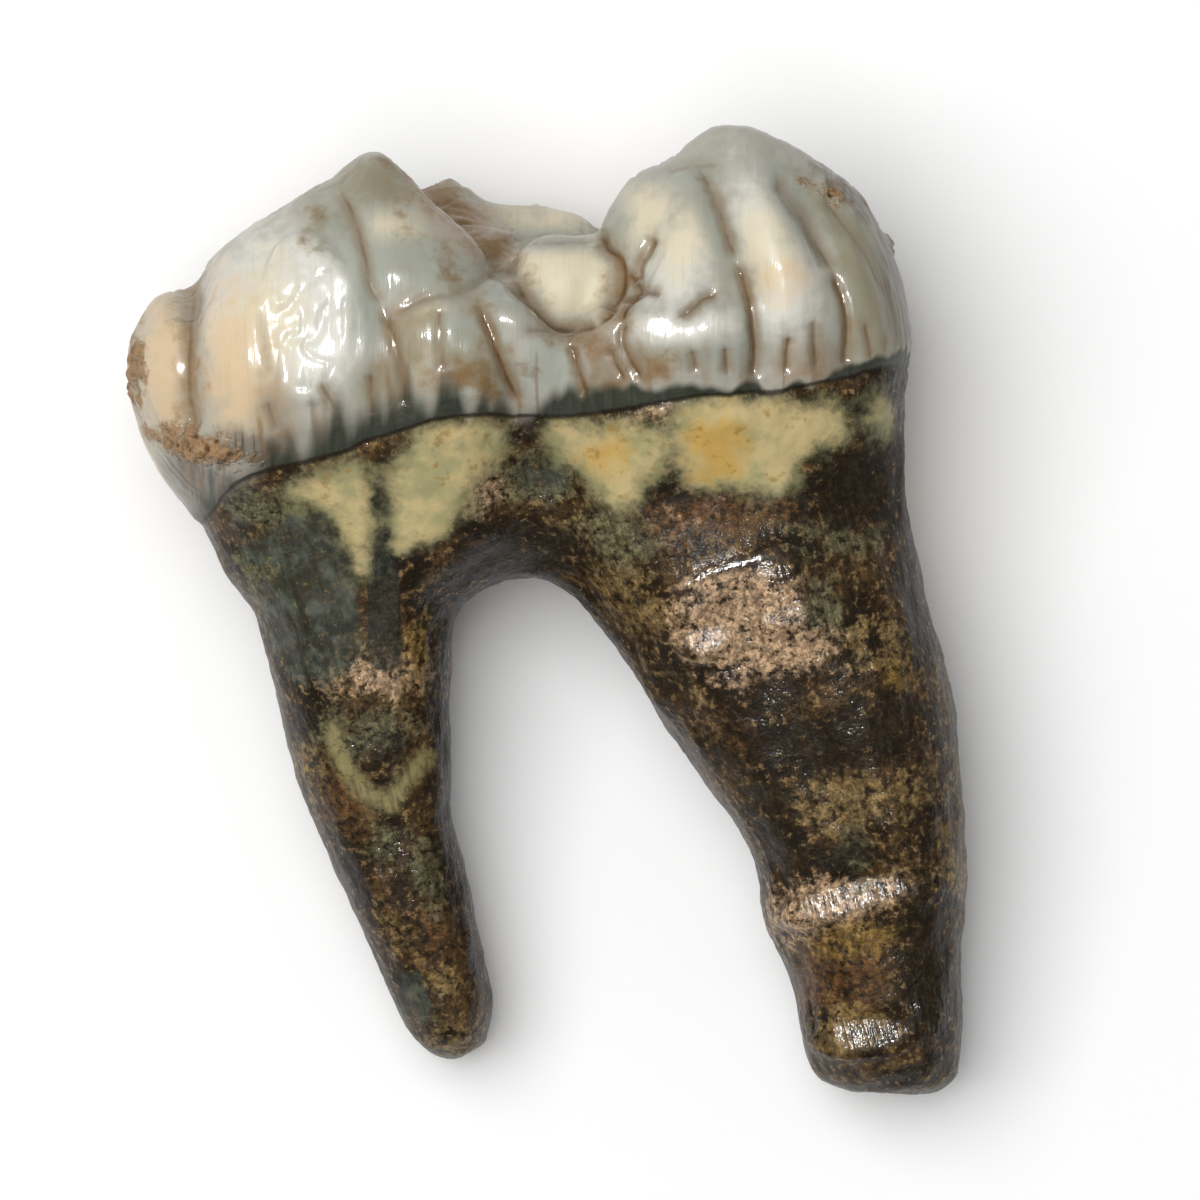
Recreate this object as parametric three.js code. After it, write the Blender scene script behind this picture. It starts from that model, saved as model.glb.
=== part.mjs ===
// A fossil cave bear molar, lying on its tongue side with its cheek side up, in millimetres.
// +Y runs from the root tips to the cusps, +X along the crown to its rear end, and +Z up from the
// surface that it lies on. The tooth grew as one piece, so it is one solid: crown, trunk and two roots.
import * as THREE from "three";

const CROWN_HEIGHT = 15.6; // from the surface up to the crown's cheek side
const MIDDLE_HEIGHT = 7.9; // Z halfway through the crown
const CROWN_LEVEL = 10.5; // Y where that is so
const TILT = 0.155; // how much the middle rises along Y: the root tips lie lower than the cusps
const MOST_FLATTENED = 0.05; // what lies this close to the surface is worn flat on it

// Grid steps of the skin: finer along the crown's height, where the cusps are, than down the roots.
const STEP_ALONG = 0.9;
const STEP_UP = 0.92;
const STEP_CROWN = 0.82;
const STEP_ROOT = 1.3;
const CELL_MARGIN = 0.05; // keeps the skin's vertices apart

// The outline of each part as seen from the cheek side, cut in levels across the tooth:
// Y, left edge, right edge, lower side, upper side.
const CROWN_WALL = [
  [0.5, -12.2, 14.5, 2.0, 11.0],
  [2.5, -12.85, 14.05, 1.6, 11.9],
  [4, -13.9, 13.75, 1.2, 12.7],
  [5.5, -15, 13.7, 0.7, 13.6],
  [7, -15.6, 13.7, 0.25, 14.5],
  [8.5, -15.95, 13.75, -0.1, 15.2],
  [10, -16.1, 13.85, -0.15, CROWN_HEIGHT],
  [11.2, -16.15, 13.9, 0.15, CROWN_HEIGHT],
  [13, -15.6, 13.7, 1.0, 15.1],
  [15, -14, 13.2, 2.1, 14.2],
  [17, -12, 12.6, 3.0, 13.2],
  [19.5, -10, 12, 3.6, 12.4],
];
const FRONT_ROOT = [
  [-17.9, -4.2, -3.3, 1.6, 4.2],
  [-17.2, -4.9, -2.8, 0.8, 5.0],
  [-16.3, -5.5, -2.3, 0.0, 5.7],
  [-15.2, -6.1, -2.1, -0.25, 6.1],
  [-13.5, -6.85, -2.35, -0.15, 6.6],
  [-11.5, -7.8, -2.85, 0.2, 7.3],
  [-9.5, -8.55, -3.3, 0.4, 8.0],
  [-8, -9.2, -3.75, 0.6, 8.5],
  [-6.5, -9.8, -3.8, 0.7, 9.0],
  [-4, -10.5, -3.75, 1.0, 9.8],
  [-1.5, -11.05, -3.75, 1.3, 10.6],
  [0, -11.4, -3.55, 1.5, 11.0],
  [1, -11.9, -2.6, 1.7, 11.2],
  [3, -12.6, -1.2, 2.0, 11.6],
];
const REAR_ROOT = [
  [-19.1, 12.2, 14.9, 2.4, 4.8],
  [-18.3, 10.5, 15.7, 0.9, 6.6],
  [-17.6, 9.95, 15.95, 0.25, 7.3],
  [-16.5, 9.65, 16, -0.2, 7.9],
  [-14.5, 9.35, 16, -0.1, 8.5],
  [-13, 8.75, 15.98, 0.1, 8.9],
  [-12, 8.3, 16.15, 0.2, 9.3],
  [-10, 8, 16.22, 0.4, 10.0],
  [-8.5, 7.3, 16.12, 0.5, 10.5],
  [-6.5, 5.9, 15.95, 0.7, 11.0],
  [-4, 4.15, 15.75, 1.0, 11.6],
  [-1.5, 2.7, 15.2, 1.3, 12.1],
  [0, 1.5, 14.65, 1.5, 12.3],
  [1.5, 0.3, 13.9, 1.8, 12.4],
  [3, -0.6, 13.3, 2.1, 12.6],
];
const CROWN_SQUARENESS = 2.9; // 2 is an ellipse in cross-section, and more is boxier
const ROOT_SQUARENESS = 2.3;
const TRUNK_END = 1.3; // Y where the trunk stops, in the arch between the roots
const ROOT_TOP = 3.8; // Y where the roots end inside the trunk
const FRONT_TIP = -17.35; // Y where the front root ends
const REAR_TIP = -18.65;
// How far the parts run into each other, or an edge is rounded over, in millimetres.
const TOP_BLEND = 0.7;
const ARCH_BLEND = 1.2;
const TIP_BLEND = 0.65;
const ROOT_TOP_BLEND = 2.5;
const ROOT_BLEND = 1.4;

// The two rows of cusps: X, the crest's Y, and its Z. The cheek row is the upper one as it lies.
const CHEEK_ROW = [
  [-16.2, 10.4, 8.2],
  [-15.4, 11.5, 8.8],
  [-14.6, 12.4, 9.4],
  [-13.7, 12.7, 9.8],
  [-12.6, 13.8, 10.2],
  [-9.25, 16.1, 10.8],
  [-7.6, 17, 11],
  [-6.7, 17.72, 11],
  [-5.8, 17.05, 11.2],
  [-4.6, 15.8, 11.6],
  [-2.7, 13.9, 12],
  [-1.2, 12.3, 12.4],
  [0.4, 11.1, 12.8],
  [2.2, 10.8, 13],
  [3.6, 12.6, 12.6],
  [4.8, 15.6, 12],
  [5.8, 18, 11.4],
  [6.6, 18.75, 11],
  [7.8, 18.5, 10.9],
  [9.1, 17.85, 10.7],
  [10.7, 17, 10.4],
  [11.6, 16.2, 10],
  [12.6, 14.6, 9.4],
  [13.4, 13, 8.8],
  [13.9, 11, 8.2],
];
const TONGUE_ROW = [
  [-16.2, 10, 7.4],
  [-14.6, 11.8, 6.6],
  [-12.8, 13.2, 5.8],
  [-10.4, 15, 5],
  [-7.6, 16.5, 4.5],
  [-5.4, 16.4, 4.3],
  [-3.7, 16.9, 4.2],
  [-2.5, 15.9, 4.1],
  [0.4, 15.7, 4.1],
  [1.6, 15.1, 4.2],
  [2.6, 14.6, 4.2],
  [4, 16, 4.3],
  [6.4, 17.5, 4.4],
  [9, 16.8, 4.8],
  [11.4, 15, 5.6],
  [13, 12.9, 6.8],
  [13.9, 10.6, 7.6],
];
// The chewing basin between the rows: X, and its floor's Y.
const BASIN = [
  [-16.2, 9.8],
  [-14, 11.6],
  [-11, 12.2],
  [-8.6, 12.9],
  [-6.2, 13.8],
  [-3.6, 12.6],
  [0.4, 11.9],
  [5, 12.3],
  [8, 13.2],
  [11, 12.4],
  [13.9, 10],
];
const BASIN_BLEND = 1.1;
const OUTER_FALL = 0.3; // how fast a row falls away on its outer side, per square millimetre
const INNER_FALL = 1.25; // and its slope towards the basin
const CREST_ROUNDING = 0.7;

// Lobes and tubercles that stand out of the crown: centre, radii, and lean in degrees about Z.
const LOBES = [
  { at: [-6.9, 12.2, 10], radii: [2.6, 5.05, 4.9], lean: 4 }, // the front cusp's middle lobe
  { at: [-11, 9.6, 9.7], radii: [3.4, 5.5, 5.2], lean: -22 }, // and its outer lobe
  { at: [-3.4, 10.5, 11], radii: [2.3, 4.3, 4.3], lean: 18 }, // and its inner lobe
  { at: [-14.2, 9, 8.6], radii: [1.55, 3.1, 4.4], lean: 4 }, // the crown's front end
  { at: [0.4, 12.15, 9.9], radii: [2.25, 2.4, 2.3], lean: 0, crease: true }, // the notch's tubercle
  { at: [-2.4, 13.2, 6.8], radii: [1.7, 1.7, 1.7], lean: 0 },
  { at: [3.8, 13.25, 9.8], radii: [2.1, 3.85, 3.2], lean: -8 }, // the rear cusp's inner lobe
  { at: [6, 13.75, 10.6], radii: [2.3, 4.55, 3.8], lean: -2 }, // and its middle lobe
  { at: [8.5, 13.1, 10.4], radii: [2.7, 4.9, 4.8], lean: 12 }, // and its outer lobe
  { at: [11.2, 11.8, 9.6], radii: [2.1, 4.5, 4.5], lean: 12 }, // the crown's rear end
  { at: [5.6, 13, 7.4], radii: [2, 1.9, 1.6], lean: 0 },
  { at: [-9.8, 12.6, 7.6], radii: [2.2, 1.6, 1.6], lean: 0 },
  { at: [9.6, 12.7, 7.5], radii: [2, 1.9, 1.6], lean: 0 },
  { at: [-12.6, 9.4, 5.2], radii: [2.6, 4, 4.2], lean: -22 }, // the tongue side, from the front end
  { at: [-8.4, 10.6, 4.5], radii: [2.7, 5, 4.3], lean: -14 },
  { at: [-3.7, 11.4, 4.2], radii: [2.3, 4.7, 3.9], lean: 4 },
  { at: [0.7, 10.7, 4.2], radii: [2.1, 4.2, 3.6], lean: 0 },
  { at: [6.3, 11.4, 4.5], radii: [2.9, 5.4, 4.65], lean: -2 },
  { at: [10.6, 10.9, 5], radii: [2.4, 4.7, 4.5], lean: 14 }, // to the rear end
];
const LOBE_BLEND = 0.8;
const CREASE_BLEND = 0.25; // for a lobe with a sharp crease round it
// The shelf below the rear cusp's lobes, from one end to the other.
const SHELF = { from: [2.5, 10.5, 13.6], to: [6.9, 10.9, 14.6], radius: 1 };

// Furrows down the cheek side, as points in X and Y, and how deep and half how wide they are.
const CHEEK_FURROWS = [
  { depth: 0.35, width: 0.75, path: [[-8, 16.4], [-7, 13.2], [-6.2, 10.8], [-5.6, 8.4]] },
  { depth: 0.3, width: 0.75, path: [[-2.7, 11.6], [-1.8, 9.7], [-1.5, 8]] },
  { depth: 0.3, width: 0.75, path: [[-6.2, 11.7], [-4.5, 12.3], [-1.8, 13.1]] },
  { depth: 0.35, width: 0.75, path: [[5.7, 17], [6.7, 14.9], [7.5, 12.3], [7.8, 9.9], [7.9, 8.8]] },
  { depth: 0.35, width: 0.75, path: [[8.6, 17], [9.9, 14.8], [11.3, 12.2], [11.5, 9.4]] },
  { depth: 0.35, width: 0.75, path: [[-13.7, 12.7], [-13.5, 10.5], [-13.3, 7.5]] },
];
// Broad hollows in both faces: the waist between the lobes, the groove above the fork, and the
// flutes down the roots. Each is a straight line in X and Y, its depth and half its width.
const HOLLOWS = [
  { depth: 1.0, width: 2.1, from: [0.7, 9.5], to: [0.2, 6.5] },
  { depth: 1.5, width: 2.4, from: [-0.4, 5], to: [-0.9, 0] },
  { depth: 0.6, width: 1.3, from: [7.4, 0], to: [12.2, -11] },
  { depth: 0.35, width: 1.1, from: [-7.6, 2], to: [-6.2, -9] },
];

// Smooth curve through stations that never overshoots them: returns a function of the first column.
function through(stations, column) {
  const at = stations.map((s) => s[0]);
  const value = stations.map((s) => s[column]);
  const rise = at.slice(1).map((a, i) => (value[i + 1] - value[i]) / (a - at[i]));
  const slope = at.map((_, i) => {
    if (i === 0) return rise[0];
    if (i === rise.length) return rise[i - 1];
    return rise[i - 1] * rise[i] > 0 ? 2 / (1 / rise[i - 1] + 1 / rise[i]) : 0;
  });
  return (x) => {
    const clamped = THREE.MathUtils.clamp(x, at[0], at[at.length - 1]);
    const i = Math.max(0, Math.min(at.length - 2, at.findIndex((a) => a >= clamped) - 1));
    const span = at[i + 1] - at[i];
    const t = (clamped - at[i]) / span;
    return (
      value[i] * (1 + 2 * t) * (1 - t) ** 2 +
      value[i + 1] * t * t * (3 - 2 * t) +
      slope[i] * span * t * (1 - t) ** 2 -
      slope[i + 1] * span * t * t * (1 - t)
    );
  };
}

const smoothMin = (a, b, k) => Math.min(a, b) - (Math.max(k - Math.abs(a - b), 0) ** 2) / (4 * k);
const smoothMax = (a, b, k) => -smoothMin(-a, -b, k);

// A body given by its levels: about how far a point is outside it, and less than 0 inside.
function levelled(stations, squareness) {
  const [left, right, low, high] = [1, 2, 3, 4].map((column) => through(stations, column));
  const n = squareness;
  return (x, y, z) => {
    const wide = (right(y) - left(y)) / 2;
    const thick = (high(y) - low(y)) / 2;
    const u = Math.abs(x - (left(y) + right(y)) / 2);
    const v = Math.abs(z - (low(y) + high(y)) / 2);
    const q = Math.max(((u / wide) ** n + (v / thick) ** n) ** (1 / n), 1e-3);
    const steepness = q ** (1 - n) * Math.hypot(u ** (n - 1) / wide ** n, v ** (n - 1) / thick ** n);
    return (q - 1) / Math.max(steepness, 1 / Math.max(wide, thick));
  };
}

// A leaning ellipsoid.
function lobe({ at, radii, lean }) {
  const turn = THREE.MathUtils.degToRad(lean);
  const [c, s] = [Math.cos(turn), Math.sin(turn)];
  return (x, y, z) => {
    const [dx, dy, dz] = [x - at[0], y - at[1], z - at[2]];
    const local = [dx * c + dy * s, dy * c - dx * s, dz];
    const q = Math.hypot(...local.map((d, i) => d / radii[i]));
    const steepness = Math.hypot(...local.map((d, i) => d / radii[i] ** 2));
    return steepness > 1e-6 ? (q * (q - 1)) / steepness : -Math.min(...radii);
  };
}

// A rod with round ends.
function rod({ from, to, radius }) {
  const line = new THREE.Line3(new THREE.Vector3(...from), new THREE.Vector3(...to));
  const point = new THREE.Vector3();
  const nearest = new THREE.Vector3();
  return (x, y, z) => {
    line.closestPointToPoint(point.set(x, y, z), true, nearest);
    return point.distanceTo(nearest) - radius;
  };
}

// How far a point in X and Y is from a path of straight stretches.
function distanceToPath(path, x, y) {
  let least = Infinity;
  for (let i = 0; i + 1 < path.length; i++) {
    const [[ax, ay], [bx, by]] = [path[i], path[i + 1]];
    const [ex, ey] = [bx - ax, by - ay];
    const t = THREE.MathUtils.clamp(((x - ax) * ex + (y - ay) * ey) / (ex * ex + ey * ey), 0, 1);
    least = Math.min(least, Math.hypot(x - ax - t * ex, y - ay - t * ey));
  }
  return least;
}

// The crown's top: the two rows of cusps, falling to the basin between them and away outside.
const rowHeight = (stations) => {
  const [crest, place] = [through(stations, 1), through(stations, 2)];
  return (x, z, outward) => {
    const off = (z - place(x)) * outward;
    if (off > 0) return crest(x) - OUTER_FALL * off * off;
    return crest(x) - INNER_FALL * (Math.hypot(off, CREST_ROUNDING) - CREST_ROUNDING);
  };
};
const cheekRow = rowHeight(CHEEK_ROW);
const tongueRow = rowHeight(TONGUE_ROW);
const basinFloor = through(BASIN, 1);
const topOf = (x, z) =>
  smoothMax(
    smoothMax(cheekRow(x, z, 1), tongueRow(x, z, -1), BASIN_BLEND),
    basinFloor(x),
    BASIN_BLEND,
  );

const crownWall = levelled(CROWN_WALL, CROWN_SQUARENESS);
const frontRoot = levelled(FRONT_ROOT, ROOT_SQUARENESS);
const rearRoot = levelled(REAR_ROOT, ROOT_SQUARENESS);
const lobes = LOBES.map(lobe);
const shelf = rod(SHELF);
const middleOf = (y) => MIDDLE_HEIGHT + TILT * (y - CROWN_LEVEL); // Z halfway through the tooth

// How much the hollows take off both faces at a point, and the furrows off the cheek side.
const share = (distance, width) => Math.exp(-((distance / width) ** 2));
function hollowed(x, y, z) {
  const offMiddle = THREE.MathUtils.smoothstep(Math.abs(z - middleOf(y)), 1, 4);
  const depths = HOLLOWS.map((h) => h.depth * share(distanceToPath([h.from, h.to], x, y), h.width));
  return offMiddle * depths.reduce((total, d) => total + d);
}
function furrowed(x, y, z) {
  const onCheek = THREE.MathUtils.smoothstep(z - middleOf(y), 0.5, 2.5);
  const depths = CHEEK_FURROWS.map((f) => f.depth * share(distanceToPath(f.path, x, y), f.width));
  return onCheek * depths.reduce((total, d) => total + d);
}

// The whole tooth: less than 0 inside.
function tooth(x, y, z) {
  const slopeShare = 0.6; // turns a height above the sloping top into a distance from it
  let crown = smoothMax(crownWall(x, y, z), (y - topOf(x, z)) * slopeShare, TOP_BLEND);
  crown = smoothMax(crown, TRUNK_END - y, ARCH_BLEND);
  const front = smoothMax(frontRoot(x, y, z), FRONT_TIP - y, TIP_BLEND);
  const rear = smoothMax(rearRoot(x, y, z), REAR_TIP - y, TIP_BLEND);
  const roots = smoothMax(Math.min(front, rear), y - ROOT_TOP, ROOT_TOP_BLEND);
  let whole = smoothMin(crown, roots, ROOT_BLEND) + hollowed(x, y, z);
  lobes.forEach((l, i) => {
    whole = smoothMin(whole, l(x, y, z), LOBES[i].crease ? CREASE_BLEND : LOBE_BLEND);
  });
  return smoothMin(whole, shelf(x, y, z), LOBE_BLEND) + furrowed(x, y, z);
}

// Lines from low to high, about a step apart.
function gridLines(low, high, step) {
  const count = Math.ceil((high - low) / step);
  return Array.from({ length: count + 1 }, (_, i) => low + ((high - low) * i) / count);
}

// The skin of a solid given as a function: one vertex in each grid cell that the surface crosses,
// moved on to the surface, and one square for each grid edge that it crosses.
function skinOf(solid, [xs, ys, zs]) {
  const [nx, ny, nz] = [xs.length, ys.length, zs.length];
  const index = (i, j, k) => i + nx * (j + ny * k);
  const value = new Float64Array(nx * ny * nz);
  zs.forEach((z, k) =>
    ys.forEach((y, j) => xs.forEach((x, i) => (value[index(i, j, k)] = solid(x, y, z)))),
  );
  fillPinches(value, [nx, ny, nz], index);
  const positions = [];
  const vertexOf = new Map();
  const corner = (i, j, k) => [xs[i], ys[j], zs[k]];
  for (let k = 0; k + 1 < nz; k++)
    for (let j = 0; j + 1 < ny; j++)
      for (let i = 0; i + 1 < nx; i++) {
        const sum = [0, 0, 0];
        let crossings = 0;
        for (let axis = 0; axis < 3; axis++)
          for (let side = 0; side < 4; side++) {
            const low = [i, j, k];
            low[(axis + 1) % 3] += side & 1;
            low[(axis + 2) % 3] += side >> 1;
            const high = [...low];
            high[axis] += 1;
            const [a, b] = [value[index(...low)], value[index(...high)]];
            if (a < 0 === b < 0) continue;
            const [p, q] = [corner(...low), corner(...high)];
            const t = a / (a - b);
            sum.forEach((_, n) => (sum[n] += p[n] + (q[n] - p[n]) * t));
            crossings++;
          }
        if (!crossings) continue;
        vertexOf.set(index(i, j, k), positions.length);
        const cell = new THREE.Box3(
          new THREE.Vector3(...corner(i, j, k)),
          new THREE.Vector3(...corner(i + 1, j + 1, k + 1)),
        ).expandByScalar(-CELL_MARGIN);
        positions.push(settled(solid, sum.map((s) => s / crossings), cell));
      }
  const triangles = [];
  for (let k = 1; k + 1 < nz; k++)
    for (let j = 1; j + 1 < ny; j++)
      for (let i = 1; i + 1 < nx; i++)
        for (let axis = 0; axis < 3; axis++) {
          const low = [i, j, k];
          const high = [...low];
          high[axis] += 1;
          const inside = value[index(...low)] < 0;
          if (inside === value[index(...high)] < 0) continue;
          const [b, c] = [(axis + 1) % 3, (axis + 2) % 3];
          const square = [[0, 0], [1, 0], [1, 1], [0, 1]].map(([db, dc]) => {
            const cell = [...low];
            cell[b] -= db;
            cell[c] -= dc;
            return vertexOf.get(index(...cell));
          });
          if (!inside) square.reverse();
          triangles.push(...splitShorter(square, positions));
        }
  return { positions, triangles };
}

// Fills the grid wherever the surface would touch itself along a line: where a square of the grid
// has its two inside corners across from each other, one of the outside corners becomes inside.
function fillPinches(value, [nx, ny, nz], index) {
  for (let pinched = true; pinched; ) {
    pinched = false;
    for (let k = 0; k + 1 < nz; k++)
      for (let j = 0; j + 1 < ny; j++)
        for (let i = 0; i + 1 < nx; i++)
          for (let axis = 0; axis < 3; axis++) {
            const ring = [[0, 0], [1, 0], [1, 1], [0, 1]].map(([db, dc]) => {
              const at = [i, j, k];
              at[(axis + 1) % 3] += db;
              at[(axis + 2) % 3] += dc;
              return index(...at);
            });
            const inside = ring.map((at) => value[at] < 0);
            if (inside[0] !== inside[2] || inside[1] !== inside[3]) continue;
            if (inside[0] === inside[1]) continue;
            const outside = ring.filter((at) => value[at] >= 0);
            const nearer = value[outside[0]] < value[outside[1]] ? outside[0] : outside[1];
            value[nearer] = -0.01;
            pinched = true;
          }
  }
}

// Moves a point on to the surface, straight down or up its slope, but not out of its cell.
function settled(solid, point, cell) {
  const p = [...point];
  const h = 0.02;
  for (let round = 0; round < 3; round++) {
    const f = solid(...p);
    const slope = [0, 1, 2].map((axis) => {
      const [ahead, behind] = [[...p], [...p]];
      ahead[axis] += h;
      behind[axis] -= h;
      return (solid(...ahead) - solid(...behind)) / (2 * h);
    });
    const steepness = slope.reduce((total, s) => total + s * s, 0);
    const move = THREE.MathUtils.clamp(f / Math.max(steepness, 0.1), -0.3, 0.3);
    p.forEach((_, axis) => (p[axis] -= move * slope[axis]));
    new THREE.Vector3(...p).clamp(cell.min, cell.max).toArray(p);
  }
  return p;
}

// A square as two triangles, split along its shorter diagonal.
function splitShorter([a, b, c, d], positions) {
  const apart = (p, q) => Math.hypot(...positions[p].map((v, n) => v - positions[q][n]));
  return apart(a, c) < apart(b, d) ? [a, b, c, a, c, d] : [a, b, d, b, c, d];
}

const onSurface = (x, y, z) => Math.max(tooth(x, y, z), -z);
const grid = [
  gridLines(-18.2, 18.2, STEP_ALONG),
  [...gridLines(-21.4, 2, STEP_ROOT), ...gridLines(2, 20.6, STEP_CROWN).slice(1)],
  gridLines(-2.33, 17.4, STEP_UP),
];
const { positions, triangles } = skinOf(onSurface, grid);
for (const p of positions) if (p[2] < MOST_FLATTENED) p[2] = 0;

const geometry = new THREE.BufferGeometry();
geometry.setAttribute("position", new THREE.Float32BufferAttribute(positions.flat(), 3));
geometry.setIndex(triangles);
geometry.computeBoundingBox();
const middle = geometry.boundingBox.getCenter(new THREE.Vector3());
geometry.translate(-middle.x, -middle.y, 0);
geometry.computeVertexNormals();

const molar = new THREE.Mesh(
  geometry,
  new THREE.MeshStandardMaterial({ color: 0x8d8160, roughness: 0.38, metalness: 0 }),
);
molar.name = "molar";

const group = new THREE.Group();
group.add(molar);
export default group;
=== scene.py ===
"""Dresses the fossil cave bear molar: its mesh with furrows and root relief, its material, and the stage."""

import math
from collections import namedtuple

import bmesh
import bpy
import numpy as np
from bpy.props import FloatProperty, FloatVectorProperty, IntProperty, PointerProperty
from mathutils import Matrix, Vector, noise


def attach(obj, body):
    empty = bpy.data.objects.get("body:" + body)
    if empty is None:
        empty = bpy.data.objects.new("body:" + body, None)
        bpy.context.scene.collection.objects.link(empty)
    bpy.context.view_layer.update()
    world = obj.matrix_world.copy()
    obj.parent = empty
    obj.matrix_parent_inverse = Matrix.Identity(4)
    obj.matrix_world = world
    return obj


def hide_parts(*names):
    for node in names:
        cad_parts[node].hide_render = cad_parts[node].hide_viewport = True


bl_info = {
    "name": "Fossil Cave Bear Molar",
    "version": (1, 0, 0),
    "blender": (4, 5, 0),
    "location": "3D View > Sidebar > Fossil",
    "description": "Builds a fossil bear molar with enamel crown and mineral-stained roots, and its stage",
    "category": "Object",
}

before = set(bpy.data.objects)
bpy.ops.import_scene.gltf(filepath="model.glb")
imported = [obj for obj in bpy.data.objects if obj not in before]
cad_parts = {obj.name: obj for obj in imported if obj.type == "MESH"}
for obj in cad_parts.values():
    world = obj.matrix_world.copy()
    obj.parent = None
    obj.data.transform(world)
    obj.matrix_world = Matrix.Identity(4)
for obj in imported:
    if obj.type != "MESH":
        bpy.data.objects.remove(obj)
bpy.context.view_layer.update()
MM = 0.001

# The camera stands straight above the tooth. Places on the cheek side are given in mm as it sees them at
# SEEN_LEVEL over the floor, where its picture is VIEW_WIDTH wide.
SEEN_LEVEL, VIEW_WIDTH = 7.0, 1200 / 26
CAMERA_ABOVE = 400.0
CAMERA_X, CAMERA_Y = 1.885, 0.538
SENSOR = 36.0
# Both lights stand over the tooth, the panel to the side of the front end.
PANEL_PLACE = (-0.13, 0.05, 0.45)
LAMP_PLACE = (-0.03, 0.035, 0.45)

# The crown's cheek side and chewing side, beyond these places in mm, get the finer mesh.
FINE_FROM_Y, FINE_FROM_Z = 6.2, 3.5
TONGUE_FURROWS = 15
# Distances to stains and furrows are cut off at this, in mm.
FAR = 3.0
# The roots lean back from the crown by about this much, and their fine grooves with them.
ROOT_LEAN = math.radians(14.5)

Furrow = namedtuple("Furrow", "path width depth stain")
Patch = namedtuple("Patch", "x y along across lean", defaults=(0,))
Skin = namedtuple("Skin", "points normals edges u v seen facing end_on")
Layer = namedtuple("Layer", "stain clouds grains full soft strength")
Cover = namedtuple("Cover", "value low high strength")

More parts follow.
